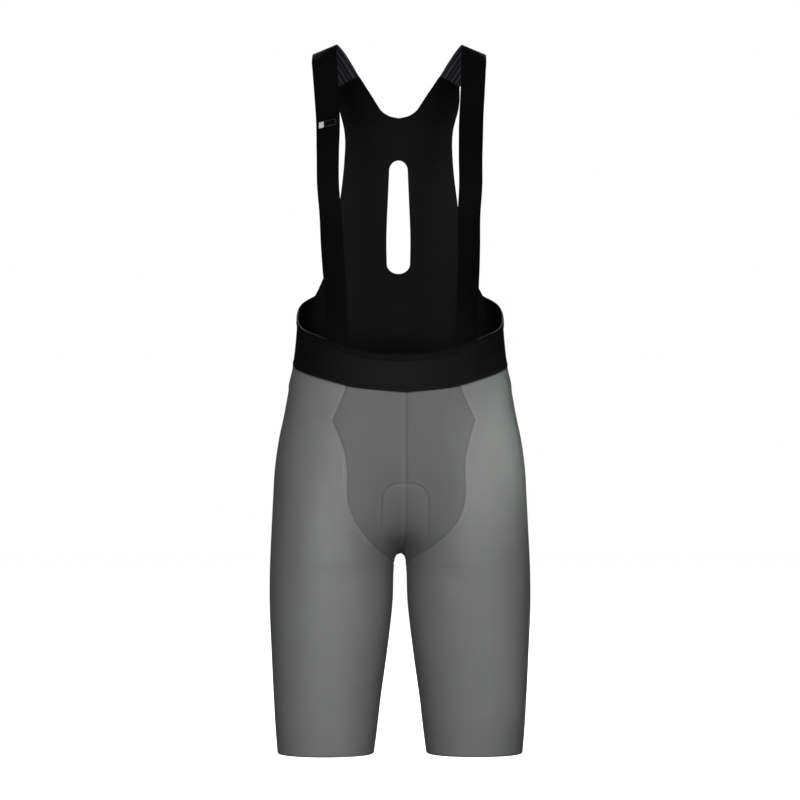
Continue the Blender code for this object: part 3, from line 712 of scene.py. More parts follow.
def neck_row(share):
    """The back panel's top row on the +X side: along the neckline, then across the tab."""
    line = np.array(NECKLINE) * MM
    run = lengths(line)
    at = np.clip(share / (1 - TAB_SHARE), 0, 1) * run[-1]
    neck = np.stack([curve(np.column_stack((run, part)), at) for part in line.T], axis=-1)
    over = np.clip((share - 1 + TAB_SHARE) / TAB_SHARE, 0, 1)[:, None]
    return neck * (1 - over) + np.array(TAB_OUTER) * MM * over


def bib_grid():
    """The back panel's +X half: rows from the seat seam up to the neckline, columns from the
    middle, or the slot's edge, to the side edge."""
    share = crowded(BACK_COLUMNS, CROWD_LESS)
    degrees = 180 - (180 - WING_ANGLE) * share
    foot = ring_point(degrees, band_seam(degrees) + SEAM_GAP / 2 - WAIST_LAP)
    corner = BAND_TOP[-1][1] * MM
    lifts = crowded(BACK_FOOT_ROWS, CROWD_LEAST)
    wing_z = foot[-1, 2] + (corner - foot[-1, 2]) * lifts
    wing = ring_point(np.full(BACK_FOOT_ROWS, WING_ANGLE), wing_z)
    level = stack(share * wing[-1, 0], corner)
    rows = foot[:, ::2] * (1 - lifts[:, None, None]) + level * lifts[:, None, None]
    rows[:, -1] = wing[:, ::2]
    turn = SLOT_END * np.linspace(0, 1, SLOT_END_ROWS) ** 2
    middle = spaced((SLOT_BOTTOM + SLOT_END, SLOT_TOP - SLOT_END), BACK_STEP)[1:-1]
    above = spaced((corner, SLOT_BOTTOM), BACK_STEP)[1:-1]
    levels = np.concatenate((above, SLOT_BOTTOM + turn, middle, (SLOT_TOP - turn)[::-1]))
    inside = slot_half(levels)[:, None]
    edge = curve(BIB_EDGE, levels / MM)[:, None] * MM
    slotted = stack(inside + share * (edge - inside), levels[:, None])
    top = neck_row(share)
    lifts = crowded(BACK_NECK_ROWS, CROWD_LEAST)[1:, None, None]
    upper = slotted[-1] * (1 - lifts) + top * lifts
    edge = curve(BIB_EDGE, upper[:, -1, 1] / MM) * MM
    upper[..., 0] += share**3 * (edge - upper[:, -1, 0])[:, None]
    flat = np.concatenate((rows, slotted, upper))
    grid = on_side(flat[..., 0], flat[..., 1], 1.0)
    grid[:BACK_FOOT_ROWS, -1] = wing
    grid[0] = foot
    inward = unit(grid[:BACK_FOOT_ROWS, -2] - grid[:BACK_FOOT_ROWS, -1]) * SEAM_GAP / 2
    grid[:BACK_FOOT_ROWS, -1] += inward
    return grid


def strap_rows():
    """The strap's inner edge, middle and outer edge, from inside the band to the tab."""
    z = np.array(STRAP_HEIGHTS) * MM
    centre_x = curve(STRAP_LINE, STRAP_HEIGHTS) * MM
    middle = on_side(centre_x, z, -1.0)
    sideways = np.cross(normals(middle), (0.0, 0.0, 1.0))
    sideways = unit(sideways * np.sign(sideways[:, :1]))
    inner = settle(middle - sideways * STRAP_WIDTH / 2)
    outer = settle(middle + sideways * STRAP_WIDTH / 2)
    under = np.clip((STRAP_DIVES_FROM - z) / STRAP_DIVE, 0, 1) * STRAP_DEPTH
    chest = np.stack((inner, middle, outer), axis=1)
    chest -= normals(chest) * under[:, None, None]
    table = np.array(SHOULDER) * MM
    spot = table[:, :3]
    half = table[:, 3:] / 2
    shoulder = np.stack((spot - half, spot, spot + half), axis=1)
    top = neck_row(np.array([1 - TAB_SHARE, 1.0]))
    tab = on_side(top[:, 0], top[:, 1], 1.0)
    ends = np.stack((tab[0], (tab[0] + tab[1]) / 2, tab[1]))[None]
    ends[:, 1] = settle(ends[:, 1])
    return np.concatenate((chest, shoulder, ends))


def strap_point(run, across):
    """Points of the strap: run from 0 inside the band to 1 at the tab, across from -1 at
    the inner edge to 1 at the outer edge."""
    rows = strap_rows()
    knots = lengths(rows[:, 1])
    knots /= knots[-1]
    inner, middle, outer = (
        stack(*[curve(np.column_stack((knots, rows[:, part, axis])), run) for axis in range(3)])
        for part in range(3)
    )
    side = across[..., None]
    return (
        middle * (1 - side * side)
        + outer * (side * (side + 1) / 2)
        + inner * (side * (side - 1) / 2)
    )


def swayed(points, column):
    """Strap points moved sideways by two columns of the sway table, from the strap's outer
    edge to its inner one, but not behind the shoulder, where the strap meets its tab."""
    height = points[..., 2] / MM
    middle = curve(STRAP_LINE, height) * MM
    inwards = np.clip((middle - np.abs(points[..., 0])) / STRAP_WIDTH + 0.5, 0, 1)
    outer, inner = (curve(STRAP_SWAY, height, at) for at in (column, column + 1))
    by = outer + (inner - outer) * inwards
    by = by * eased(-points[..., 1], -SWAY_END, 2 * SWAY_END)
    return points - by[..., None] * np.array((MM, 0.0, 0.0))


def sheet_normals(grid):
    """Unit vectors square to a grid, from its rows and columns."""
    return unit(np.cross(np.gradient(grid, axis=1), np.gradient(grid, axis=0)))


def strap_grid():
    """The +X strap's outer face, a row every few millimetres along it, with a few more that
    lap over the back panel's tab."""
    run, across = np.broadcast_arrays(
        np.linspace(0, 1, STRAP_ROWS)[:, None], 2 * crowded(STRAP_COLUMNS)[None] - 1
    )
    grid = strap_point(run, across)
    over = grid[-1] + unit(grid[-1] - grid[-4]) * STRAP_LAP[:, None, None]
    return np.concatenate((grid, settle(over)))


def pad_turns(share):
    """Angles about the seat's centre along the pad's middle line, from front to back."""
    front = on_side(np.array(0.0), np.array(PAD_FRONT_HEIGHT), -1.0)
    back = on_side(np.array(0.0), np.array(PAD_BACK_HEIGHT), 1.0)
    hub = np.array(SEAT_CENTRE)
    start = math.atan2(hub[2] - front[2], hub[1] - front[1])
    end = math.pi - math.atan2(hub[2] - back[2], back[1] - hub[1])
    return start + (end - start) * share


def pad_grid(rows, columns):
    """The pad's plan laid on the surface: rows along its middle line from front to back,
    columns stepped sideways over the surface to its rim."""
    share = crowded(rows, CROWD_LESS)
    turn = pad_turns(share)
    hub = np.broadcast_to(SEAT_CENTRE, (rows, 3)).copy()
    middle = cast(hub, stack(np.zeros_like(turn), -np.cos(turn), -np.sin(turn)))
    stride = curve(PAD_WIDTH, share)[:, None] * MM / (columns // 2)
    line = [middle]
    heading = np.broadcast_to((1.0, 0.0, 0.0), middle.shape)
    for _ in range(columns // 2):
        face = normals(line[-1])
        heading = unit(heading - face * (heading * face).sum(axis=-1, keepdims=True))
        line.append(settle(line[-1] + heading * stride, 2))
    right = np.stack(line, axis=1)
    return np.concatenate((right[:, :0:-1] * (-1, 1, 1), right), axis=1)


def reach(grid, axis):
    """Lengths over the surface from both ends of each row (axis 1) or column (axis 0)."""
    steps = np.linalg.norm(np.diff(grid, axis=axis), axis=-1)
    run = np.concatenate((np.zeros_like(steps.take([0], axis)), steps.cumsum(axis=axis)), axis)
    return run, run.take([-1], axis) - run


def rolled(distance, radius=CUT_EDGE):
    """A cut edge's roundness: a quarter circle that drops by its radius at the edge."""
    near = 1 - np.clip(distance / radius, 0, 1)
    return radius * (np.sqrt(1 - near**2) - 1)


def lapped(distance, height, width):
    """A turned edge: raised by height over its width, with a line pressed in by stitches at
    seven tenths of it, and a soft end."""
    full = height * (1 - eased(distance, width, 0.6 * width))
    pressed = 0.4 * height * np.exp(-(((distance - 0.7 * width) / (0.6 * MM)) ** 2))
    return full - pressed


def sunk(distance):
    """An edge that lies under a neighbour's lap: a soft step down towards the edge."""
    return SUNK * (eased(distance, SUNK_EDGE, SUNK_SOFT) - 1)


def below_band(top):
    """From 0 at a top edge, which the band laps over, to 1 below the lap."""
    return eased(top, SUNK_EDGE, 4 * MM)


def crease(points, start, end, width, depth):
    """A soft trough, or with a negative depth a ridge, along a straight line through space:
    a bell across the line, which fades in and out along it as a half sine wave."""
    start = np.array(start) * MM
    line = np.array(end) * MM - start
    along = ((points - start) @ line) / (line @ line)
    away = np.linalg.norm(points - start - along[..., None] * line, axis=-1)
    fade = np.sin(np.pi * np.clip(along, 0, 1))
    return -depth * MM * fade * np.exp(-((away / (width * MM)) ** 2))


# Soft creases of the +X leg and of the back panel's +X half: where each starts and ends, its
# width and its depth.
LEG_CREASES = (
    ((30, 112, -655), (125, 108, -705), 9, 1.6),
    ((40, 118, -640), (118, 120, -682), 7, -0.8),
    ((14, 60, -690), (70, 104, -728), 8, 1.0),
    ((24, -88, -676), (92, -104, -716), 8, 0.5),
    ((40, -84, -664), (120, -104, -690), 10, -0.35),
    ((150, -50, -440), (168, -20, -520), 9, 0.5),
    ((140, 62, -430), (168, 30, -505), 9, 0.7),
    ((148, 70, -560), (165, 60, -660), 14, -0.6),
    ((60, 122, -470), (22, 128, -560), 14, 0.9),
    ((100, 96, -760), (40, 78, -800), 9, 0.7),
    ((56, 84, -742), (120, 92, -770), 9, 0.5),
    ((110, -86, -850), (70, -84, -886), 10, 0.25),
)
BACK_CREASES = (
    ((96, 66, -318), (30, 92, -352), 9, 1.0),
    ((84, 78, -296), (24, 90, -318), 7, -0.6),
    ((60, 92, -380), (10, 96, -362), 9, 0.6),
    ((70, 60, -92), (34, 74, -128), 8, 0.6),
)


def creased(points, creases):
    """The sum of all creases at the points."""
    return sum(crease(points, *one) for one in creases)


def seat_fold(points):
    """The hollow down the middle of the seat: a bell across x, faded out above and below."""
    x, y, z = (points[..., axis] for axis in range(3))
    window = eased(z, SEAT_FOLD_LOW, 40 * MM) * eased(-z, -SEAT_FOLD_HIGH, 60 * MM)
    return -SEAT_FOLD_DEPTH * window * (y > 0) * np.exp(-((x / SEAT_FOLD_WIDTH) ** 2))


def pad_press(points):
    """How far the pad's front end swells the front panels: full inside a box with round
    corners, with a soft shoulder at its rim, faded out towards the crotch."""
    side = PAD_HALF - PAD_CORNER - np.abs(points[..., 0])
    down = PAD_FRONT_HEIGHT - PAD_CORNER - points[..., 2]
    beyond = np.hypot(np.minimum(side, 0), np.minimum(down, 0))
    depth = PAD_CORNER + np.maximum(np.minimum(side, down), 0) - beyond
    fade = eased(points[..., 2], PAD_FADE_LOW, PAD_FADE) * (points[..., 1] < 0)
    return PAD_PRESS * smooth(depth / PAD_SHOULDER + 0.3) * fade


def over_seam(grid, by, far=False):
    """A grid whose first columns, or with far its last ones, are drawn out over a seam by a
    length for each row, and how far past the old edge each point then lies."""
    side = grid[:, ::-1] if far else grid
    run, _ = reach(side, 1)
    outward = unit(side[:, :1] - side[:, 3:4])
    move = by[:, None] * np.clip(1 - run / LAP_REACH, 0, 1)
    moved = side + outward * move[..., None]
    near = int((run.min(axis=0) < LAP_REACH).sum())
    moved[:, :near] = settle(moved[:, :near], 2)
    past = move - run
    return (moved[:, ::-1], past[:, ::-1]) if far else (moved, past)


def lined(grid, past):
    """The inner wall under a grid: a wall's thickness below it, and just above the surface
    where the cloth laps over the piece beyond its seam."""
    depth = np.where(past > -LAP_START, -LAP_UNDER, WALL)
    return grid - normals(grid) * depth[..., None]


def leg_laps(grid, crotch):
    """How far a leg's first edge laps over the front panel above the crotch, and over its own
    last edge below it; and how far its last edge laps over the other leg's."""
    above = np.arange(len(grid)) > crotch
    front = eased(grid[:, 0, 2], GUSSET_LOW, 18 * MM)
    inseam = eased(-grid[:, 0, 2], 6 * MM - GUSSET_LOW, 12 * MM)
    back = eased(grid[:, -1, 2], GUSSET_TIP, 14 * MM)
    return LAP * np.where(above, front, inseam), LAP * np.where(above, back, 0.0)


def leg_relief(grid, crotch, over):
    """Low relief of a leg: turned edges on every seam, a bead at the hem, the gripper's top
    edge and the soft creases. over says whether it laps over the other leg at the back."""
    first, last = reach(grid, 1)
    hem, top = reach(grid, 0)
    above = np.arange(len(grid))[:, None] > crotch
    relief = lapped(first, np.where(above, LEG_EDGE[0], SEAT_EDGE[0]), LEG_EDGE[1])
    relief += np.where(above & over, lapped(last, *SEAT_EDGE), sunk(last))
    relief = relief * below_band(top)
    relief += GRIPPER_STEP * (1 - eased(hem, GRIPPER, 1.2 * MM))
    relief += HEM_BEAD * np.exp(-(((hem - 2 * MM) / (1.4 * MM)) ** 2))
    edge = np.minimum(np.minimum(first, last), np.minimum(hem, top))
    relief += creased(grid, LEG_CREASES) * smooth(edge / (12 * MM)) + seat_fold(grid)
    return relief + rolled(hem) + rolled(np.minimum(first, last), LAP_EDGE)


def front_relief(grid, over):
    """Low relief of a front panel: a turned edge at the centre seam where it laps over the
    other one, or else a sunk one, a sunk edge under the leg's lap, and the pad's press."""
    first, last = reach(grid, 1)
    top, _ = reach(grid, 0)
    relief = lapped(first, *CENTRE_EDGE) if over else sunk(first)
    relief = (relief + sunk(last)) * below_band(top)
    relief += pad_press(grid) + seat_fold(grid)
    return relief + rolled(np.minimum(first, last), LAP_EDGE)


def waist_relief(grid):
    """Low relief of the band: a turned lower edge, a top edge sunk under the binding, and
    turned, rolled ends."""
    end = np.minimum(*reach(grid, 1))
    low, top = reach(grid, 0)
    relief = lapped(low, *WAIST_EDGE) + sunk(top) + lapped(end, *WAIST_END)
    return relief + rolled(np.minimum(end, low), LAP_EDGE)


def back_relief(grid, joined):
    """Low relief of the back panel's half: turned edges on the slot, neckline and side, the
    seam at its foot, and sunk edges under the band's end and under the strap's."""
    first, last = reach(grid, 1)
    low, top = reach(grid, 0)
    slot = np.where(joined[:, None], 1.0, first)
    wing = smooth((BACK_FOOT_ROWS - np.arange(len(grid))) / 3)[:, None]
    tab = smooth((crowded(BACK_COLUMNS, CROWD_LESS) - 1 + TAB_SHARE) / 0.04 + 0.5)
    relief = lapped(last, *SIDE_EDGE) * (1 - wing) + sunk(last) * wing
    relief += lapped(slot, *SLOT_EDGE) + lapped(low, *FOOT_EDGE)
    relief += lapped(top, *SIDE_EDGE) * (1 - tab)
    relief -= 0.3 * MM * tab * (1 - eased(top, STRAP_LAP[-1], 3 * MM))
    edge = np.minimum(np.minimum(slot, last), np.minimum(low, top))
    return relief + rolled(edge) + creased(grid, BACK_CREASES)


def painted_shade_under_band(top):
    """Painted shade on the outer and the inner face near a top edge that the band covers: the
    edge itself is painted black, and so is the inner face as far as the band's lap, as shade under
    the band."""
    return -1.0 * (top < 0.3 * MM), eased(top, 3 * MM, 1.5 * MM) - 1


def leg_painted_light(grid, crotch):
    """The painted light and shade of a leg's outer and inner face: the turned edge beside the
    front panel is painted a little lighter, as a painted highlight along the lap, and the faces
    under the band are painted dark, as shade."""
    first, _ = reach(grid, 1)
    _, top = reach(grid, 0)
    above = np.arange(len(grid))[:, None] > crotch
    outer, inner = painted_shade_under_band(top)
    return outer + np.where(above, 0.12 * (1 - eased(first, 4 * MM, 5 * MM)), 0.0), inner


def front_painted_light(grid, over):
    """The painted light and shade of a front panel's outer and inner face: a painted highlight
    along the lap at the middle, or painted shade beside it on the other panel, and a little painted
    shade beside the leg's lap."""
    first, last = reach(grid, 1)
    top, _ = reach(grid, 0)
    if over:
        middle = 0.14 * (1 - eased(first, 5 * MM, 2.5 * MM))
    else:
        middle = -0.12 * (1 - eased(first, 2.6 * MM, 3 * MM))
    outer, inner = painted_shade_under_band(top)
    return outer + middle - 0.05 * (1 - smooth(last / (9 * MM))), inner


def flat_lengths(grid):
    """How far each point lies along its row from the row's middle, and along its column from
    the first row: the cloth's own two directions, in metres."""
    across, _ = reach(grid, 1)
    up, _ = reach(grid, 0)
    middle = grid.shape[1] // 2
    return np.stack((across - across[:, middle : middle + 1], up), axis=-1)


def quads_of(index):
    """The quads between neighbouring rows and columns of a grid of corner numbers."""
    corners = (index[:-1, :-1], index[:-1, 1:], index[1:, 1:], index[1:, :-1])
    return np.stack(corners, axis=-1).reshape(-1, 4)


def wall_quads(rows, columns, joined=None):
    """Quads of a closed wall between an outer grid and the inner one after it. Steps marked
    in joined get no edge along the first column, because another half goes on there."""
    index = np.arange(rows * columns).reshape(rows, columns)
    inner = index + rows * columns
    faces = [quads_of(index), quads_of(inner)[:, ::-1]]
    for edge in (index[0, ::-1], index[-1], index[:, 0], index[::-1, -1]):
        below = edge + inner[0, 0]
        steps = np.stack((edge[:-1], edge[1:], below[1:], below[:-1]), 1)
        if joined is not None and edge[0] == 0 and edge[-1] == index[-1, 0]:
            steps = steps[~joined]
        faces.append(steps)
    return np.concatenate(faces)


def turned_front(points):
    """Points of the front moved sideways along the surface by the turn table, and how far
    each has gone along x: blended between its seams, and faded out towards both sides, the
    back and the crotch."""
    x, height = points[:, 0], points[:, 2] / MM
    left, middle, right = (curve(FRONT_TURN, height, column) * MM for column in (1, 2, 3))
    by = middle + (right - middle) * smooth(x / TURN_SEAM)
    by += (left - middle) * smooth(-x / TURN_SEAM)
    by *= 1 - eased(np.abs(x), TURN_FADE, TURN_END - TURN_FADE)
    by *= eased(-points[:, 1], TURN_BACK, TURN_BACK_SOFT)
    moved = by > 0
    if not moved.any():
        return points, by
    facing = normals(points[moved])
    slope = facing[:, 0] / np.minimum(facing[:, 1], TURN_FACING)
    points = points.copy()
    points[moved, 0] += by[moved]
    points[moved, 1] -= by[moved] * np.clip(slope, -TURN_SLOPE, TURN_SLOPE)
    return points, by


def add_mesh(name, points, quads, flat, inside, finish, painted_light_and_tone=None):
    """A smooth mesh from points and quads, with the cloth's flat lengths as its UV map and a
    number at each point: inside is 1 on the inner wall, turned is how far the point is moved
    along x, and the painted light is above 0 where the cloth is painted lighter, as painted
    light, and below 0 where it is painted darker, as painted shade."""
    points, turned = turned_front(points)
    mesh = bpy.data.meshes.new(name)
    mesh.vertices.add(len(points))
    mesh.vertices.foreach_set("co", points.astype(np.float32).ravel())
    mesh.loops.add(quads.size)
    mesh.loops.foreach_set("vertex_index", quads.ravel().astype(np.int32))
    mesh.polygons.add(len(quads))
    mesh.polygons.foreach_set("loop_start", np.arange(0, quads.size, 4, dtype=np.int32))
    mesh.update(calc_edges=True)
    mesh.uv_layers.new(name="cloth")
    mesh.uv_layers["cloth"].data.foreach_set("uv", flat[quads.ravel()].astype(np.float32).ravel())
    for mark, numbers in (("inside", inside), ("turned", turned), ("painted_light_and_tone", painted_light_and_tone)):
        if numbers is not None:
            mesh.attributes.new(mark, "FLOAT", "POINT")
            mesh.attributes[mark].data.foreach_set("value", numbers.astype(np.float32))
    mesh.shade_smooth()
    mesh.materials.append(finish)
    made = bpy.data.objects.new(name, mesh)
    bpy.context.scene.collection.objects.link(made)
    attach(made, "root")
    return made


def add_cloth(name, outer, inner, finish, joined=None, halves=False, painted_light_and_tone=None):
    """One closed sheet between two grids. With halves, the same sheet on the other side of
    the garment's middle is joined to it."""
    quads = wall_quads(*outer.shape[:2], joined)
    facing = np.cross(np.gradient(outer, axis=1), np.gradient(outer, axis=0))
    if (facing * (outer - inner)).sum() < 0:
        quads = quads[:, ::-1]
    points = np.concatenate((outer.reshape(-1, 3), inner.reshape(-1, 3)))
    flat = np.tile(flat_lengths(outer).reshape(-1, 2), (2, 1))
    inside = np.repeat((0.0, 1.0), outer.shape[0] * outer.shape[1])
    # The painted light and shade of the outer and the inner face.
    if painted_light_and_tone is not None:
        painted_light_and_tone = np.concatenate([face.ravel() for face in painted_light_and_tone])
    if halves:
        quads = np.concatenate((quads, quads[:, ::-1] + len(points)))
        points = np.concatenate((points, mirrored(points)))
        flat = np.concatenate((flat, flat * (-1, 1)))
        inside = np.tile(inside, 2)
    made = add_mesh(name, points, quads, flat, inside, finish, painted_light_and_tone)
    if halves:
        weld(made.data)
    return made


def weld(mesh):
    """Points of a mesh that meet are made one."""
    work = bmesh.new()
    work.from_mesh(mesh)
    bmesh.ops.remove_doubles(work, verts=work.verts, dist=0.002 * MM)
    work.to_mesh(mesh)
    work.free()


def raised(grid, relief):
    """A grid moved out along the surface's normals by its relief."""
    return grid + normals(grid) * relief[..., None]


def mirrored(points):
    """Points on the other side of the garment's middle."""
    return points * (-1, 1, 1)


class Value:
    """A socket in a material. Sums, products and powers of values add Math nodes."""

    def __init__(self, paint, socket):
        self.paint = paint
        self.socket = socket

    def maths(self, operation, *numbers):
        """A Math node of these numbers, in their order."""
        return self.paint.node("ShaderNodeMath", {"operation": operation}, *numbers)

    def __add__(self, other):
        return self.maths("ADD", self, other)

    def __radd__(self, other):
        return self.maths("ADD", other, self)

    def __sub__(self, other):
        return self.maths("SUBTRACT", self, other)

    def __rsub__(self, other):
        return self.maths("SUBTRACT", other, self)

    def __mul__(self, other):
        return self.maths("MULTIPLY", self, other)

    def __rmul__(self, other):
        return self.maths("MULTIPLY", other, self)

    def __truediv__(self, other):
        return self.maths("DIVIDE", self, other)

    def __rtruediv__(self, other):
        return self.maths("DIVIDE", other, self)

    def __pow__(self, other):
        return self.maths("POWER", self, other)

    def __rpow__(self, other):
        return self.maths("POWER", other, self)

    def least(self, other):
        """The smaller of two values."""
        return self.maths("MINIMUM", self, other)

    def most(self, other):
        """The larger of two values."""
        return self.maths("MAXIMUM", self, other)

    def sine(self):
        """The sine of a value in radians."""
        return self.maths("SINE", self)

    def size(self):
        """The value without its sign."""
        return self.maths("ABSOLUTE", self)

    def step(self, low, high):
        """A soft step from 0 where the value is low to 1 where it is high."""
        settings = {"interpolation_type": "SMOOTHSTEP"}
        return self.paint.node("ShaderNodeMapRange", settings, self, low, high, 0.0, 1.0)

    def ribs(self, pitch):
        """Round ribs, from 0 between them to 1 along their tops, one to each pitch."""
        return (self * (math.pi / pitch)).sine().size()


class Nodes:
    """The nodes of a material or of the world, under construction."""

    def __init__(self, tree):
        self.nodes = tree.nodes
        self.links = tree.links

    def node(self, kind, settings, *values, places=None, out=0):
        """A node of a kind, with its settings, and with values or links for the sockets at
        these places, or else for its first sockets."""
        made = self.nodes.new(kind)
        for name, setting in settings.items():
            setattr(made, name, setting)
        for place, value in zip(places or range(len(values)), values, strict=True):
            self.feed(made.inputs[place], value)
        return Value(self, made.outputs[out])

    def feed(self, socket, value):
        """Puts a value into a socket: a link or a constant."""
        if isinstance(value, Value):
            self.links.new(value.socket, socket)
        else:
            socket.default_value = value


class Paint(Nodes):
    """A material under construction: its nodes and its shader."""

    def __init__(self, name, **constants):
        self.material = bpy.data.materials.new(name)
        self.material.use_nodes = True
        super().__init__(self.material.node_tree)
        self.shader = self.nodes["Principled BSDF"]
        for socket, constant in constants.items():
            self.shader.inputs[socket.replace("_", " ")].default_value = constant

    def mix(self, factor, one, other):
        """A colour from one to other by a factor. Each is a value, or red, green and blue."""
        ends = (end if isinstance(end, Value) else (*end, 1.0) for end in (one, other))
        settings = {"data_type": "RGBA"}
        return self.node("ShaderNodeMix", settings, factor, *ends, places=(0, 6, 7), out=2)

    def cloth(self):
        """The cloth's own two directions in metres, across it and along it."""
        uv = self.node("ShaderNodeUVMap", {"uv_map": "cloth"})
        return self.split(uv, 0), self.split(uv, 1)

    def split(self, vector, axis):
        """One coordinate of a vector."""
        return self.node("ShaderNodeSeparateXYZ", {}, vector, out=axis)

    def place(self):
        """The point in the garment's own frame, in metres."""
        return self.node("ShaderNodeTexCoord", {}, out=3)

    def noise(self, scale, detail=2.0):
        """Soft noise from 0 to 1, with a scale in features to the metre."""
        values = (self.place(), scale, detail)
        return self.node("ShaderNodeTexNoise", {}, *values, places=("Vector", "Scale", "Detail"))

    def mark(self, name):
        """A number kept on the mesh's points."""
        return self.node("ShaderNodeAttribute", {"attribute_name": name}, out=2)

    def finish(self, colour, roughness, height, depth):
        """Feeds the shader: colour, roughness and a bump of a height times a depth."""
        self.feed(self.shader.inputs["Base Color"], colour)
        self.feed(self.shader.inputs["Roughness"], roughness)
        bump = self.node("ShaderNodeBump", {}, depth, height, places=("Distance", "Height"))
        self.feed(self.shader.inputs["Normal"], bump)
        return self.material


# Knit: how long a loop is for its width, how far its arrow head lags, how much of it is
# pinched, how slowly its tone changes and how fine its fluff is, in features to the metre,
# and how much lighter and darker than its lit and its dark tone its painted light and shade can
# make it.
LOOP_LENGTH = 1.3
LOOP_LAG = 2.4
LOOP_PINCH = 0.22
SLOW_CHANGE = 14.0
FLUFF = 900.0
FLUFF_DETAIL = 3.0
PAINTED_LIGHT_TONE = 1.6
PAINTED_SHADE_TONE = 0.05
KNIT_DEPTH = 0.12 * MM

# The pad's outline in the cloth, in millimetres from its rim: where the line's soft edge,
# painted dark as shade, starts and ends, how far outside the rim the painted light line lies,
# and where the swell, painted lighter, starts and is full. Then the heights and the places
# along y, in metres, between which all of it fades in.
OUTLINE = (0.3, 2.2)
OUTLINE_LIP = 3.2
OUTLINE_SWELL = (-10.0, 6.0)
OUTLINE_HEIGHTS = (-0.645, -0.61)
OUTLINE_FRONT = (0.02, -0.02)

# Strap elastic: the pitch of its ribs, its cross threads and the two waves, with their lag,
# that together make its stripes, and its tones.
RIB_PITCH = 2.2 * MM
CROSS_PITCH = 0.9 * MM
WIDE_STRIPE = (5.6 * MM, 0.7)
NARROW_STRIPE = (9.4 * MM, 2.1)
ELASTIC_FLUFF = 800.0
RIB_DEPTH = 0.22 * MM
ELASTIC = ((0.0015, 0.0015, 0.0017), (0.0035, 0.0035, 0.004))
STRIPES = ((0.022, 0.023, 0.028), (0.07, 0.073, 0.083))

# Thread, pad cover and tag: pitches, depths of relief and tones.
PLY_PITCH = 0.5 * MM
PLY_DEPTH = 0.06 * MM
PAD_LOOP = 1.0 * MM
PAD_HOLE_PITCH = 5.5 * MM
PAD_HOLE_DEPTH = 0.5 * MM
PAD_TONES = ((0.055, 0.055, 0.06), (0.02, 0.02, 0.022))
WEAVE_PITCH = 0.6 * MM
WEAVE_DEPTH = 0.08 * MM
TAG_TONES = ((0.002, 0.002, 0.0024), (0.72, 0.72, 0.72))

# The tag's light areas in millimetres: middle, half length and half width of its square, of
# its frame and of the dark field inside that, and how soft their edges are.
TAG_SQUARE = (8.3, 3.2, 4.5)
TAG_FRAME = (-3.6, 8.0, 4.5)
TAG_FIELD = (-3.6, 7.6, 4.1)
TAG_SOFT = 0.2
TAG_FRAME_TONE = 0.12


def wales(across, along, pitch, course):
    """Jersey loops: ribs of one sine across each wale, pinched once each course, with the
    pinch lagging towards the sides of the wale so that the loops make arrow heads."""
    rib = across.ribs(pitch)
    pinch = ((along * (2 * math.pi / course)) + rib * LOOP_LAG).sine()
    return rib * (pinch * LOOP_PINCH + (1 - LOOP_PINCH))


def knit(name, colour, deep, rough, pitch, specular, below=None):
    """A stretch knit: fine wales in the cloth's own directions, a slow change of tone as it
    stretches, and a little fluff in its roughness. colour is the lit tone, deep the shaded one,
    which the loops mix as painted shade between the wales. below gives the painted light and
    shade and the relief of what shows through from under it."""
    paint = Paint(name, Specular_IOR_Level=specular)
    across, along = paint.cloth()
    loops = wales(across, along, pitch, pitch * LOOP_LENGTH)
    slow = paint.noise(SLOW_CHANGE)
    fluff = paint.noise(FLUFF, FLUFF_DETAIL)
    # Painted shade: darker between the wales and lighter on the loops' tops; the noise is the
    # knit's own tone.
    painted_light_and_tone = loops * 0.5 + slow * 0.35 + fluff * 0.15
    shade = paint.mix(painted_light_and_tone.step(0.2, 0.8), deep, colour)
    height = loops + fluff * 0.5
    # Painted light and shade kept on the mesh: lighter above 0, darker below 0.
    painted_light_mark = paint.mark("painted_light_and_tone")
    if below is not None:
        seen, relief = below(paint)
        painted_light_mark = painted_light_mark + seen
        height = height + relief
    shade = paint.mix(painted_light_mark, shade, toned(colour, PAINTED_LIGHT_TONE))
    shade = paint.mix(painted_light_mark * -1.0, shade, toned(deep, PAINTED_SHADE_TONE))
    return paint.finish(shade, fluff * 0.1 + (rough - 0.05), height, KNIT_DEPTH)


def toned(colour, share):
    """A lighter or darker tone of a colour."""
    return tuple(share * part for part in colour)


def pad_outline_light_and_relief(paint):
    """The painted light and the relief of the pad under a front panel, from a point's x and height
    before the front's turn: the depth inside a box with round corners, as a pressed line along
    its rim painted dark as shade, with a painted highlight outside it, and a swell within painted
    lighter."""
    x, y, z = (paint.split(paint.place(), axis) for axis in range(3))
    side = (PAD_HALF - PAD_CORNER) - (x - paint.mark("turned")).size()
    down = (PAD_FRONT_HEIGHT - PAD_CORNER) - z
    beyond = (side.least(0.0) ** 2 + down.least(0.0) ** 2) ** 0.5
    depth = (side.least(down).most(0.0) + PAD_CORNER - beyond) / MM
    shown = z.step(*OUTLINE_HEIGHTS) * y.step(*OUTLINE_FRONT)
    line = (1 - depth.size().step(*OUTLINE)) * shown
    lip = (1 - (depth + OUTLINE_LIP).size().step(*OUTLINE)) * shown
    painted_light_swell = depth.step(*OUTLINE_SWELL) * shown
    # The swell and the lip are painted light, the pressed line painted shade; then the relief.
    return painted_light_swell * 0.14 + lip * 0.06 - line * 0.09, lip - line * 2.0


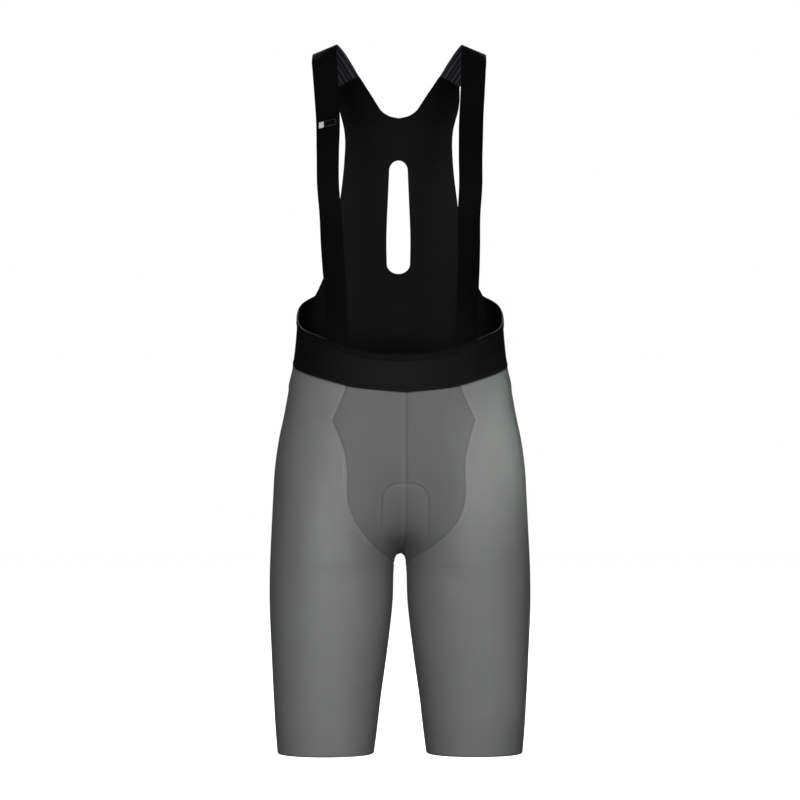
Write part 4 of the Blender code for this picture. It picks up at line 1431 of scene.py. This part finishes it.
def ribbed(name):
    """Flat strap elastic: lengthwise ribs, crossed by fine threads. The inner side has
    grey stripes of uneven width along it."""
    paint = Paint(name, Specular_IOR_Level=0.04)
    across, along = paint.cloth()
    rib = across.ribs(RIB_PITCH)
    cross = along.ribs(CROSS_PITCH)
    inner = paint.mark("inside").step(0.5, 0.9)
    wide, narrow = (
        (across * (2 * math.pi / pitch) + lag).sine() for pitch, lag in (WIDE_STRIPE, NARROW_STRIPE)
    )
    stripe = (wide + narrow * 0.6).step(-0.3, 0.9)
    fluff = paint.noise(ELASTIC_FLUFF, FLUFF_DETAIL)
    # Painted shade on the outer face: darker between the ribs, lighter on their tops, with fluff as
    # the elastic's own tone.
    outside = paint.mix(rib * 0.6 + fluff * 0.4, *ELASTIC)
    inside = paint.mix(stripe, *STRIPES)
    shade = paint.mix(inner, outside, inside)
    return paint.finish(shade, fluff * 0.1 + 0.5, rib * 0.7 + cross * 0.3, RIB_DEPTH)


def thread(name, colour):
    """Sewing thread: two twisted plies."""
    paint = Paint(name, Specular_IOR_Level=0.4)
    across, along = paint.cloth()
    ply = (along + across * 0.6).ribs(PLY_PITCH)
    # Painted shade: darker in the grooves between the plies, lighter on their ridges.
    shade = paint.mix(ply, toned(colour, 0.75), colour)
    return paint.finish(shade, 0.55, ply, PLY_DEPTH)


def pad_cover(name):
    """The pad's soft face knit over foam, with rows of small holes in the foam below."""
    paint = Paint(name, Specular_IOR_Level=0.25)
    across, along = paint.cloth()
    loops = wales(across, along, PAD_LOOP, PAD_LOOP * LOOP_LENGTH)
    turn = 2 * math.pi / PAD_HOLE_PITCH
    holes = ((across * turn).sine() * (along * turn).sine()).step(0.55, 0.85)
    # Painted shade: the recessed holes are painted darker than the knit over them.
    shade = paint.mix(holes, *PAD_TONES)
    return paint.finish(shade, 0.85, loops * 0.2 - holes, PAD_HOLE_DEPTH)


def woven_tag(name):
    """A blank woven tag: a light square at one end and a thin light frame round the rest."""
    paint = Paint(name, Specular_IOR_Level=0.05)
    across, along = paint.cloth()
    weave = across.ribs(WEAVE_PITCH) * along.ribs(WEAVE_PITCH)
    x = across / MM
    y = along / MM - LABEL_WIDTH / MM / 2

    def field_of(middle, long, wide):
        """1 inside an upright oblong of the tag, and 0 outside it."""
        ends = 1 - (x - middle).size().step(long, long + TAG_SOFT)
        return ends * (1 - y.size().step(wide, wide + TAG_SOFT))

    square, outer, inner = (field_of(*area) for area in (TAG_SQUARE, TAG_FRAME, TAG_FIELD))
    shade = paint.mix(square + (outer - inner) * TAG_FRAME_TONE, *TAG_TONES)
    return paint.finish(shade, 0.6, weave, WEAVE_DEPTH)


def edge_line(outer, distance, axis=1, far=False):
    """A line over a grid at a distance from one of its edges, as points with their normals:
    the first column's edge, or with axis 0 the first row's, or with far the last one's."""
    grid = outer if axis == 1 else outer.swapaxes(0, 1)
    grid = grid[:, ::-1] if far else grid
    run, _ = reach(grid, 1)
    after = np.clip((run < distance).sum(axis=1), 1, grid.shape[1] - 1)
    rows = np.arange(len(grid))
    low, high = run[rows, after - 1], run[rows, after]
    share = ((distance - low) / (high - low))[:, None]
    line = grid[rows, after - 1] * (1 - share) + grid[rows, after] * share
    return np.concatenate((line, normals(line)), axis=1)


def walk(path, pitch):
    """A path of points and normals, read again at even steps of about a pitch."""
    run = lengths(path[:, :3])
    at = np.linspace(0, run[-1], max(round(run[-1] / pitch), 2) + 1)
    return np.stack([np.interp(at, run, part) for part in path.T], axis=-1)


def straight(path, pitch=STITCH):
    """Running stitches: bars from step to step of a path, with a small gap after each."""
    steps = walk(path, pitch)
    start, end = steps[:-1], steps[1:]
    gap = STITCH_GAP * (end - start)
    return (start + gap)[:, :3], (end - gap)[:, :3], start[:, 3:]


def zigzag(path, pitch, width):
    """Zigzag stitches: bars that cross a path from side to side at each step."""
    steps = walk(path, pitch)
    points, up = steps[:, :3], unit(steps[:, 3:])
    side = unit(np.cross(up, np.gradient(points, axis=0)))
    swing = np.where(np.arange(len(points)) % 2, 0.5, -0.5)[:, None] * width
    points = points + side * swing
    return points[:-1], points[1:], up[:-1]


# A thread's bar: shares of its length, and there its thickness and its rise, in radii.
BAR = np.array(
    (
        (0.0, 0.3, -0.9),
        (0.08, 0.95, -0.1),
        (0.5, 1.0, 0.45),
        (0.92, 0.95, -0.1),
        (1.0, 0.3, -0.9),
    )
)
BAR_SIDES = 4
BAR_LIFT = 0.4


def add_threads(name, rows, finish):
    """Short threads as one mesh. Each is a bar of rings of four points from its start to its
    end: thin and low at both ends, full and raised in its middle."""
    start, end, up = (np.concatenate([row[part] for row in rows]) for part in range(3))
    along = end - start
    across = unit(np.cross(up, along))
    up = unit(np.cross(along, across))
    share, thick, rise = (BAR[:, part][None, :, None, None] for part in range(3))
    angle = (np.arange(BAR_SIDES) + 0.5) * 2 * np.pi / BAR_SIDES
    turn = np.stack((np.cos(angle), np.sin(angle)), axis=-1)[None, None, :, :, None]
    side = across[:, None, None] * turn[..., 0, :] + up[:, None, None] * turn[..., 1, :]
    points = start[:, None, None] + along[:, None, None] * share
    points = points + THREAD * (side * thick + up[:, None, None] * (rise + BAR_LIFT))
    rings = len(BAR)
    ring = np.arange(rings * BAR_SIDES).reshape(rings, BAR_SIDES)
    closed = np.concatenate((ring, ring[:, :1]), axis=1)
    bar = np.concatenate((quads_of(closed), ring[:1, ::-1], ring[-1:]))
    quads = (bar[None] + np.arange(len(start))[:, None, None] * ring.size).reshape(-1, 4)
    length = np.linalg.norm(along, axis=1)[:, None, None] * BAR[:, 0][None, :, None]
    flat = np.stack(np.broadcast_arrays(angle * THREAD, length), axis=-1).reshape(-1, 2)
    points = points.reshape(-1, 3)
    threads = add_mesh(name, points, quads, flat, np.zeros(len(points)), finish)
    return threads


def flipped(row):
    """Threads on the other side of the garment's middle."""
    return tuple(mirrored(part) for part in row)


# The knits' tones: the lit one and the deep one of each, mixed by the loops as painted shade
# between the wales and by noise as the knit's own tone.
GREY = (0.215, 0.22, 0.218)
GREY_DEEP = (0.185, 0.19, 0.188)
PANEL = (0.168, 0.172, 0.17)
PANEL_DEEP = (0.146, 0.15, 0.148)
BLACK = (0.004, 0.004, 0.0043)
BLACK_DEEP = (0.0035, 0.0035, 0.0038)
BACK_BLACK = (0.006, 0.006, 0.0065)
BACK_DEEP = (0.003, 0.003, 0.0034)

leg_knit = knit("leg_knit", GREY, GREY_DEEP, rough=0.4, pitch=1.0 * MM, specular=0.5)
# The front panels' knit, with the pad's outline in painted light and shade.
panel_knit = knit(
    "panel_knit", PANEL, PANEL_DEEP, rough=0.55, pitch=1.0 * MM, specular=0.2, below=pad_outline_light_and_relief
)
band_knit = knit("band_knit", BLACK, BLACK_DEEP, rough=0.5, pitch=1.1 * MM, specular=0.08)
binding_tape = knit("binding_tape", BLACK, BLACK_DEEP, rough=0.6, pitch=1.6 * MM, specular=0.06)
back_knit = knit("back_knit", BACK_BLACK, BACK_DEEP, rough=0.55, pitch=1.8 * MM, specular=0.08)
strap_elastic = ribbed("strap_elastic")
pad_foam = pad_cover("pad_foam")
label_tag = woven_tag("label_tag")
grey_thread = thread("grey_thread", (0.22, 0.225, 0.223))
panel_thread = thread("panel_thread", (0.09, 0.093, 0.092))
black_thread = thread("black_thread", (0.01, 0.01, 0.011))

SIDES = (("left", np.asarray), ("right", mirrored))


def wear(piece, node):
    """The piece stands for its solid, which is hidden."""
    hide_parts(node)
    return piece


def make_legs():
    """Both legs, with the threads of their seams. The left one laps over at the back."""
    plain, crotch = leg_grid()
    front_lap, back_lap = leg_laps(plain, crotch)
    for side, turned in SIDES:
        over = side == "left"
        grid, front_past = over_seam(plain, front_lap)
        back_past = np.full(front_past.shape, -1.0)
        if over:
            grid, back_past = over_seam(grid, back_lap, far=True)
        outer = raised(grid, leg_relief(grid, crotch, over))
        inner = lined(grid, np.maximum(front_past, back_past))
        # The leg's painted highlight along its lap and painted shade under the band.
        painted_light_and_tone = leg_painted_light(grid, crotch)
        leg = add_cloth(f"leg_cloth_{side}", turned(outer), turned(inner), leg_knit, painted_light_and_tone=painted_light_and_tone)
        wear(leg, f"leg_{side}")
        above, below = outer[crotch + 2 :], outer[: crotch - 1]
        rows = [
            straight(edge_line(above, FRONT_SEAM_ROW)),
            straight(edge_line(below, INSEAM_ROW)),
        ]
        if over:
            tip = int((above[:, -1, 2] < GUSSET_TIP).sum())
            rows.append(straight(edge_line(above[tip + 2 :], SEAT_ROW, far=True)))
        rows = [tuple(turned(part) for part in row) for row in rows]
        threads = add_threads(f"leg_threads_{side}", rows, grey_thread)


def make_front():
    """Both front panels. The one at the image's left laps over the other at the middle, but
    not at the tip, where the panels are narrower than the lap."""
    plain = front_grid()
    across, _ = reach(plain, 1)
    lap_share = eased(across[:, -1], 6 * MM, 8 * MM)
    for side, turned in SIDES:
        over = side == "right"
        grid, past = over_seam(plain, FRONT_OVER * lap_share * over)
        outer = raised(grid, front_relief(grid, over))
        inner = lined(grid, np.where(over & (lap_share[:, None] > 0), past, -1.0))
        faces = turned(outer), turned(inner)
        # The panel's painted highlight and painted shade along its laps and under the band.
        panel = add_cloth(f"front_cloth_{side}", *faces, panel_knit, painted_light_and_tone=front_painted_light(grid, over))
        wear(panel, f"front_panel_{side}")
        threads = []
        if over:
            row = straight(edge_line(outer[2:-TIP_ROWS], CENTRE_ROW))
            row = tuple(turned(part) for part in row)
            threads = [add_threads("front_threads", [row], grey_thread)]


def make_pad_outline():
    """The zigzag seam that holds the pad, up one side, round both corners and down again."""
    turn = np.linspace(0, np.pi / 2, 24)
    corner = np.stack((np.sin(turn), np.cos(turn) - 1), axis=-1) * PAD_CORNER
    corner[:, 0] += PAD_HALF - PAD_CORNER
    side = np.linspace(-PAD_CORNER, -PAD_SEEN, 30)[1:]
    half = np.concatenate((corner, np.column_stack((np.full(len(side), PAD_HALF), side))))
    plan = np.concatenate((half[::-1], half * (-1, 1)))
    path = on_side(plan[:, 0], PAD_FRONT_HEIGHT + plan[:, 1], -1.0)
    path = path + normals(path) * (pad_press(path) - 0.05 * MM)[:, None]
    path = np.concatenate((path, normals(path)), axis=1)
    add_threads("pad_threads", [zigzag(path, ZIGZAG, ZIGZAG_WIDTH)], panel_thread)


def make_waist():
    """The band and the binding on its top edge, with their threads. Both lap over the legs
    and over the back panel's wings."""
    grid, past = drawn_out(band_grid())
    outer = raised(grid, waist_relief(grid))
    low, _ = reach(grid, 0)
    inner = lined(grid, np.maximum(past, WAIST_LAP - low))
    band = add_cloth("band_cloth", outer, inner, band_knit)
    wear(band, "waistband_front")
    strip, past = drawn_out(binding_grid())
    low, top = reach(strip, 0)
    arch = np.sin(np.pi * np.clip(low / (BINDING_WIDTH + LAP), 0, 1)) ** 0.5
    end = np.minimum(*reach(strip, 1))
    edge = np.minimum(np.minimum(low, top), end)
    proud = raised(strip, BINDING_RISE + BINDING_BEAD * arch + rolled(edge, LAP_EDGE))
    inner = lined(strip, np.maximum(past, LAP - low))
    binding = add_cloth("binding_tape", proud, inner, binding_tape)
    wear(binding, "waistband_binding")
    rows = [
        straight(edge_line(outer, BAND_ROW, axis=0)),
        straight(edge_line(proud, BINDING_ROW, axis=0), TAPE_STITCH),
        straight(edge_line(outer[2:-2], BAND_END_ROW)),
        straight(edge_line(outer[2:-2], BAND_END_ROW, far=True)),
    ]
    threads = add_threads("band_threads", rows, black_thread)


def drawn_out(grid):
    """A grid whose two ends are drawn out over the back panel's wings, and how far past its
    old ends each point lies."""
    by = np.full(len(grid), LAP)
    grid, start = over_seam(grid, by)
    grid, end = over_seam(grid, by, far=True)
    return grid, np.maximum(start, end)


def make_back():
    """The back panel as one sheet with its slot, and the threads of its edges."""
    grid = bib_grid()
    on_middle = grid[:, 0, 0] < 0.001 * MM
    joined = on_middle[:-1] & on_middle[1:]
    outer = raised(grid, back_relief(grid, on_middle))
    low, _ = reach(grid, 0)
    inner = lined(grid, WAIST_LAP - low)
    for layer in (outer, inner):
        layer[on_middle, 0, 0] = 0.0
    back = add_cloth("back_cloth", outer, inner, back_knit, joined, halves=True)
    wear(back, "bib_back")
    slot = np.flatnonzero(~on_middle)
    rows = [
        straight(edge_line(outer, SIDE_ROW, far=True)),
        straight(edge_line(outer[:, 6:-4], SIDE_ROW, axis=0, far=True)),
        straight(edge_line(outer[slot[0] : slot[-1]], SLOT_ROW)),
        straight(edge_line(outer[:, :-3], BAND_ROW, axis=0)),
    ]
    rows += [flipped(row) for row in rows]
    threads = add_threads("back_threads", rows, black_thread)


def make_straps():
    """Both straps, each lapped over its tab and sewn down with two rows of stitches."""
    grid = strap_grid()
    up = sheet_normals(grid)
    edge = np.minimum(*reach(grid, 1))
    _, end = reach(grid, 0)
    lift = STRAP_RISE * (1 - eased(end, STRAP_LAP[-1], 5 * MM))
    outer = grid + up * (lift + rolled(np.minimum(edge, end), 0.5 * MM))[..., None]
    over = end < STRAP_LAP[-1] - LAP_EDGE
    depth = np.where(over, -LAP_UNDER, WALL + rolled(edge, 0.4 * MM))
    inner = grid - up * depth[..., None]
    ends = []
    for distance in TAB_STITCHES:
        line = edge_line(outer[:, 2:-2], distance, axis=0, far=True)[:, :3]
        ends.append(straight(np.concatenate((line, up[-4, 2:-2]), axis=1), TAPE_STITCH))
    for side, turned in SIDES:
        column = 3 if side == "left" else 1
        faces = [swayed(turned(face), column) for face in (outer, inner)]
        strap = add_cloth(f"strap_elastic_{side}", *faces, strap_elastic)
        wear(strap, f"strap_{side}")
        rows = [tuple(turned(part) for part in row) for row in ends]
        threads = add_threads(f"strap_threads_{side}", rows, black_thread)


def make_label():
    """The blank tag on the outer face of the strap at the image's left."""
    rows = strap_rows()[:, 1]
    knots = lengths(rows)
    front = slice(0, len(STRAP_HEIGHTS) + 2)
    centre = curve(np.column_stack((rows[front, 2], knots[front])), LABEL_HEIGHT)
    along = np.linspace(-1, 1, LABEL_ROWS)[:, None] * LABEL_WIDTH / 2
    across = np.linspace(-1, 1, LABEL_COLUMNS)[None] * LABEL_LENGTH / 2
    run = centre + along * LABEL_STRETCH - across * math.sin(LABEL_TILT)
    aside = np.broadcast_to(across + LABEL_OUTWARD, run.shape)
    grid = strap_point(run / knots[-1], aside / (STRAP_WIDTH / 2))
    up = sheet_normals(grid)
    edge = np.minimum(np.minimum(*reach(grid, 0)), np.minimum(*reach(grid, 1)))
    heights = (LABEL_TOP + rolled(edge, LAP_EDGE), np.full_like(edge, LABEL_UNDER))
    faces = [swayed(mirrored(grid + up * height[..., None]), 1) for height in heights]
    label = add_cloth("blank_tag", *faces, label_tag)
    wear(label, "strap_label")


def make_pad():
    """The seat pad: a thin rim, a full crown and three pressed channels along it."""
    grid = pad_grid(PAD_ROWS, PAD_COLUMNS)
    side = np.abs(np.linspace(-1, 1, grid.shape[1]))[None]
    along = np.abs(2 * crowded(PAD_ROWS, CROWD_LESS) - 1)[:, None]
    full = (1 - side**6) * (1 - along**8)
    channels = sum(
        depth * np.exp(-(((side - at) / width) ** 2)) for at, width, depth in PAD_CHANNELS
    )
    full = full * (1 - channels * smooth((0.8 - along) / 0.2))
    depth = PAD_EDGE + (PAD_THICKNESS - PAD_EDGE) * full
    outer = grid - normals(grid) * PAD_CLEAR
    inner = grid - normals(grid) * (PAD_CLEAR + depth)[..., None]
    pad = add_cloth("pad", outer, inner, pad_foam)
    wear(pad, "seat_pad")


make_legs()
make_front()
make_pad_outline()
make_waist()
make_back()
make_straps()
make_label()
make_pad()

FLOOR = -1.0
FLOOR_HALF = 8.0


# Soft lamps round the garment: azimuth from the front towards +X in degrees, distance, height,
# width, length and power.
LAMPS = (
    ("left_box", -20, 3.6, 0.0, 0.9, 2.2, 55.0),
    ("right_box", 20, 3.6, 0.0, 0.9, 2.2, 49.0),
    ("left_side", -90, 3.6, 0.0, 0.9, 2.2, 7.0),
    ("right_side", 60, 3.6, 0.0, 0.9, 2.2, 4.0),
    ("back_left", -170, 2.8, 2.2, 1.6, 1.6, 60.0),
    ("back_right", 170, 2.8, 2.2, 1.6, 1.6, 60.0),
    ("above", 0, 0.8, 2.4, 2.0, 2.0, 6.0),
)
# Narrow gridded lamps: azimuth, the point they light, the lit stretch's length and power.
BEAMS = (
    ("left_thigh_beam", -16, (-0.082, -0.08, -0.69), 0.5, 0.0185),
    ("right_hip_beam", 38, (0.121, -0.07, -0.49), 0.26, 0.043),
    ("right_thigh_beam", 50, (0.134, -0.06, -0.68), 0.4, 0.0165),
)
BEAM_DISTANCE = 2.0
BEAM_WIDTH = 0.07
BEAM_SPREAD = math.radians(4.0)
AIM = (0.0, 0.0, -0.5)


def softbox(name, place, aim, width, length, power, spread=math.pi):
    """A flat studio lamp at a place that faces an aim."""
    lamp = bpy.data.lights.new(name, "AREA")
    lamp.shape = "RECTANGLE"
    lamp.size = width
    lamp.size_y = length
    lamp.energy = power
    lamp.spread = spread
    made = bpy.data.objects.new(name, lamp)
    made.location = place
    made.rotation_euler = (Vector(aim) - Vector(place)).to_track_quat("-Z", "Y").to_euler()
    made.visible_glossy = spread == math.pi
    bpy.context.scene.collection.objects.link(made)


def around(centre, azimuth, distance, height):
    """A place at a distance from a centre, level with a height."""
    turn = math.radians(azimuth)
    return centre[0] + distance * math.sin(turn), centre[1] - distance * math.cos(turn), height


def make_lamps():
    """Soft boxes round the garment, and narrow beams for the sheen of its thighs and hip."""
    for name, azimuth, distance, height, width, length, power in LAMPS:
        softbox(name, around(AIM, azimuth, distance, height), AIM, width, length, power)
    for name, azimuth, aim, length, power in BEAMS:
        place = around(aim, azimuth, BEAM_DISTANCE, aim[2])
        softbox(name, place, aim, BEAM_WIDTH, length, power, BEAM_SPREAD)


def make_floor():
    """A plain pale floor that runs out to a white surround."""
    paint = Paint("pale_floor", Base_Color=(0.9, 0.9, 0.9, 1), Roughness=0.9)
    paint.shader.inputs["Emission Color"].default_value = (1, 1, 1, 1)
    paint.shader.inputs["Emission Strength"].default_value = 0.97
    mesh = bpy.data.meshes.new("floor")
    signs = ((-1, -1), (1, -1), (1, 1), (-1, 1))
    corners = [(FLOOR_HALF * x, FLOOR_HALF * y, FLOOR) for x, y in signs]
    mesh.from_pydata(corners, [], [(0, 1, 2, 3)])
    mesh.materials.append(paint.material)
    floor = bpy.data.objects.new("floor", mesh)
    bpy.context.scene.collection.objects.link(floor)
    floor.visible_diffuse = False
    floor.visible_glossy = False


def make_surround():
    """Air that looks white and lights the garment with a low even light."""
    world = bpy.data.worlds.new("surround")
    world.use_nodes = True
    air = Nodes(world.node_tree)
    background = air.nodes["Background"]
    background.inputs["Color"].default_value = (1, 1, 1, 1)
    seen = Value(air, background.outputs[0])
    even = air.node("ShaderNodeBackground", {}, (0.02, 0.02, 0.02, 1))
    from_camera = air.node("ShaderNodeLightPath", {})
    both = air.node("ShaderNodeMixShader", {}, from_camera, even, seen)
    air.feed(air.nodes["World Output"].inputs["Surface"], both)
    bpy.context.scene.world = world
    bpy.context.scene.view_settings.view_transform = "Standard"


CAMERA_AZIMUTH = math.radians(-1.5)
CAMERA_DISTANCE = 5.0
CAMERA_HEIGHT = -0.4655
CAMERA_LENS = 169.2


def make_camera():
    """A level camera in front, a little to the image's left of the middle."""
    lens = bpy.data.cameras.new("camera")
    lens.lens = CAMERA_LENS
    lens.sensor_width = 36.0
    camera = bpy.data.objects.new("camera", lens)
    x = CAMERA_DISTANCE * math.sin(CAMERA_AZIMUTH)
    y = -CAMERA_DISTANCE * math.cos(CAMERA_AZIMUTH)
    camera.location = (x, y, CAMERA_HEIGHT)
    camera.rotation_euler = (math.pi / 2, 0.0, CAMERA_AZIMUTH)
    bpy.context.scene.collection.objects.link(camera)
    bpy.context.scene.camera = camera


make_floor()
make_lamps()
make_surround()
make_camera()
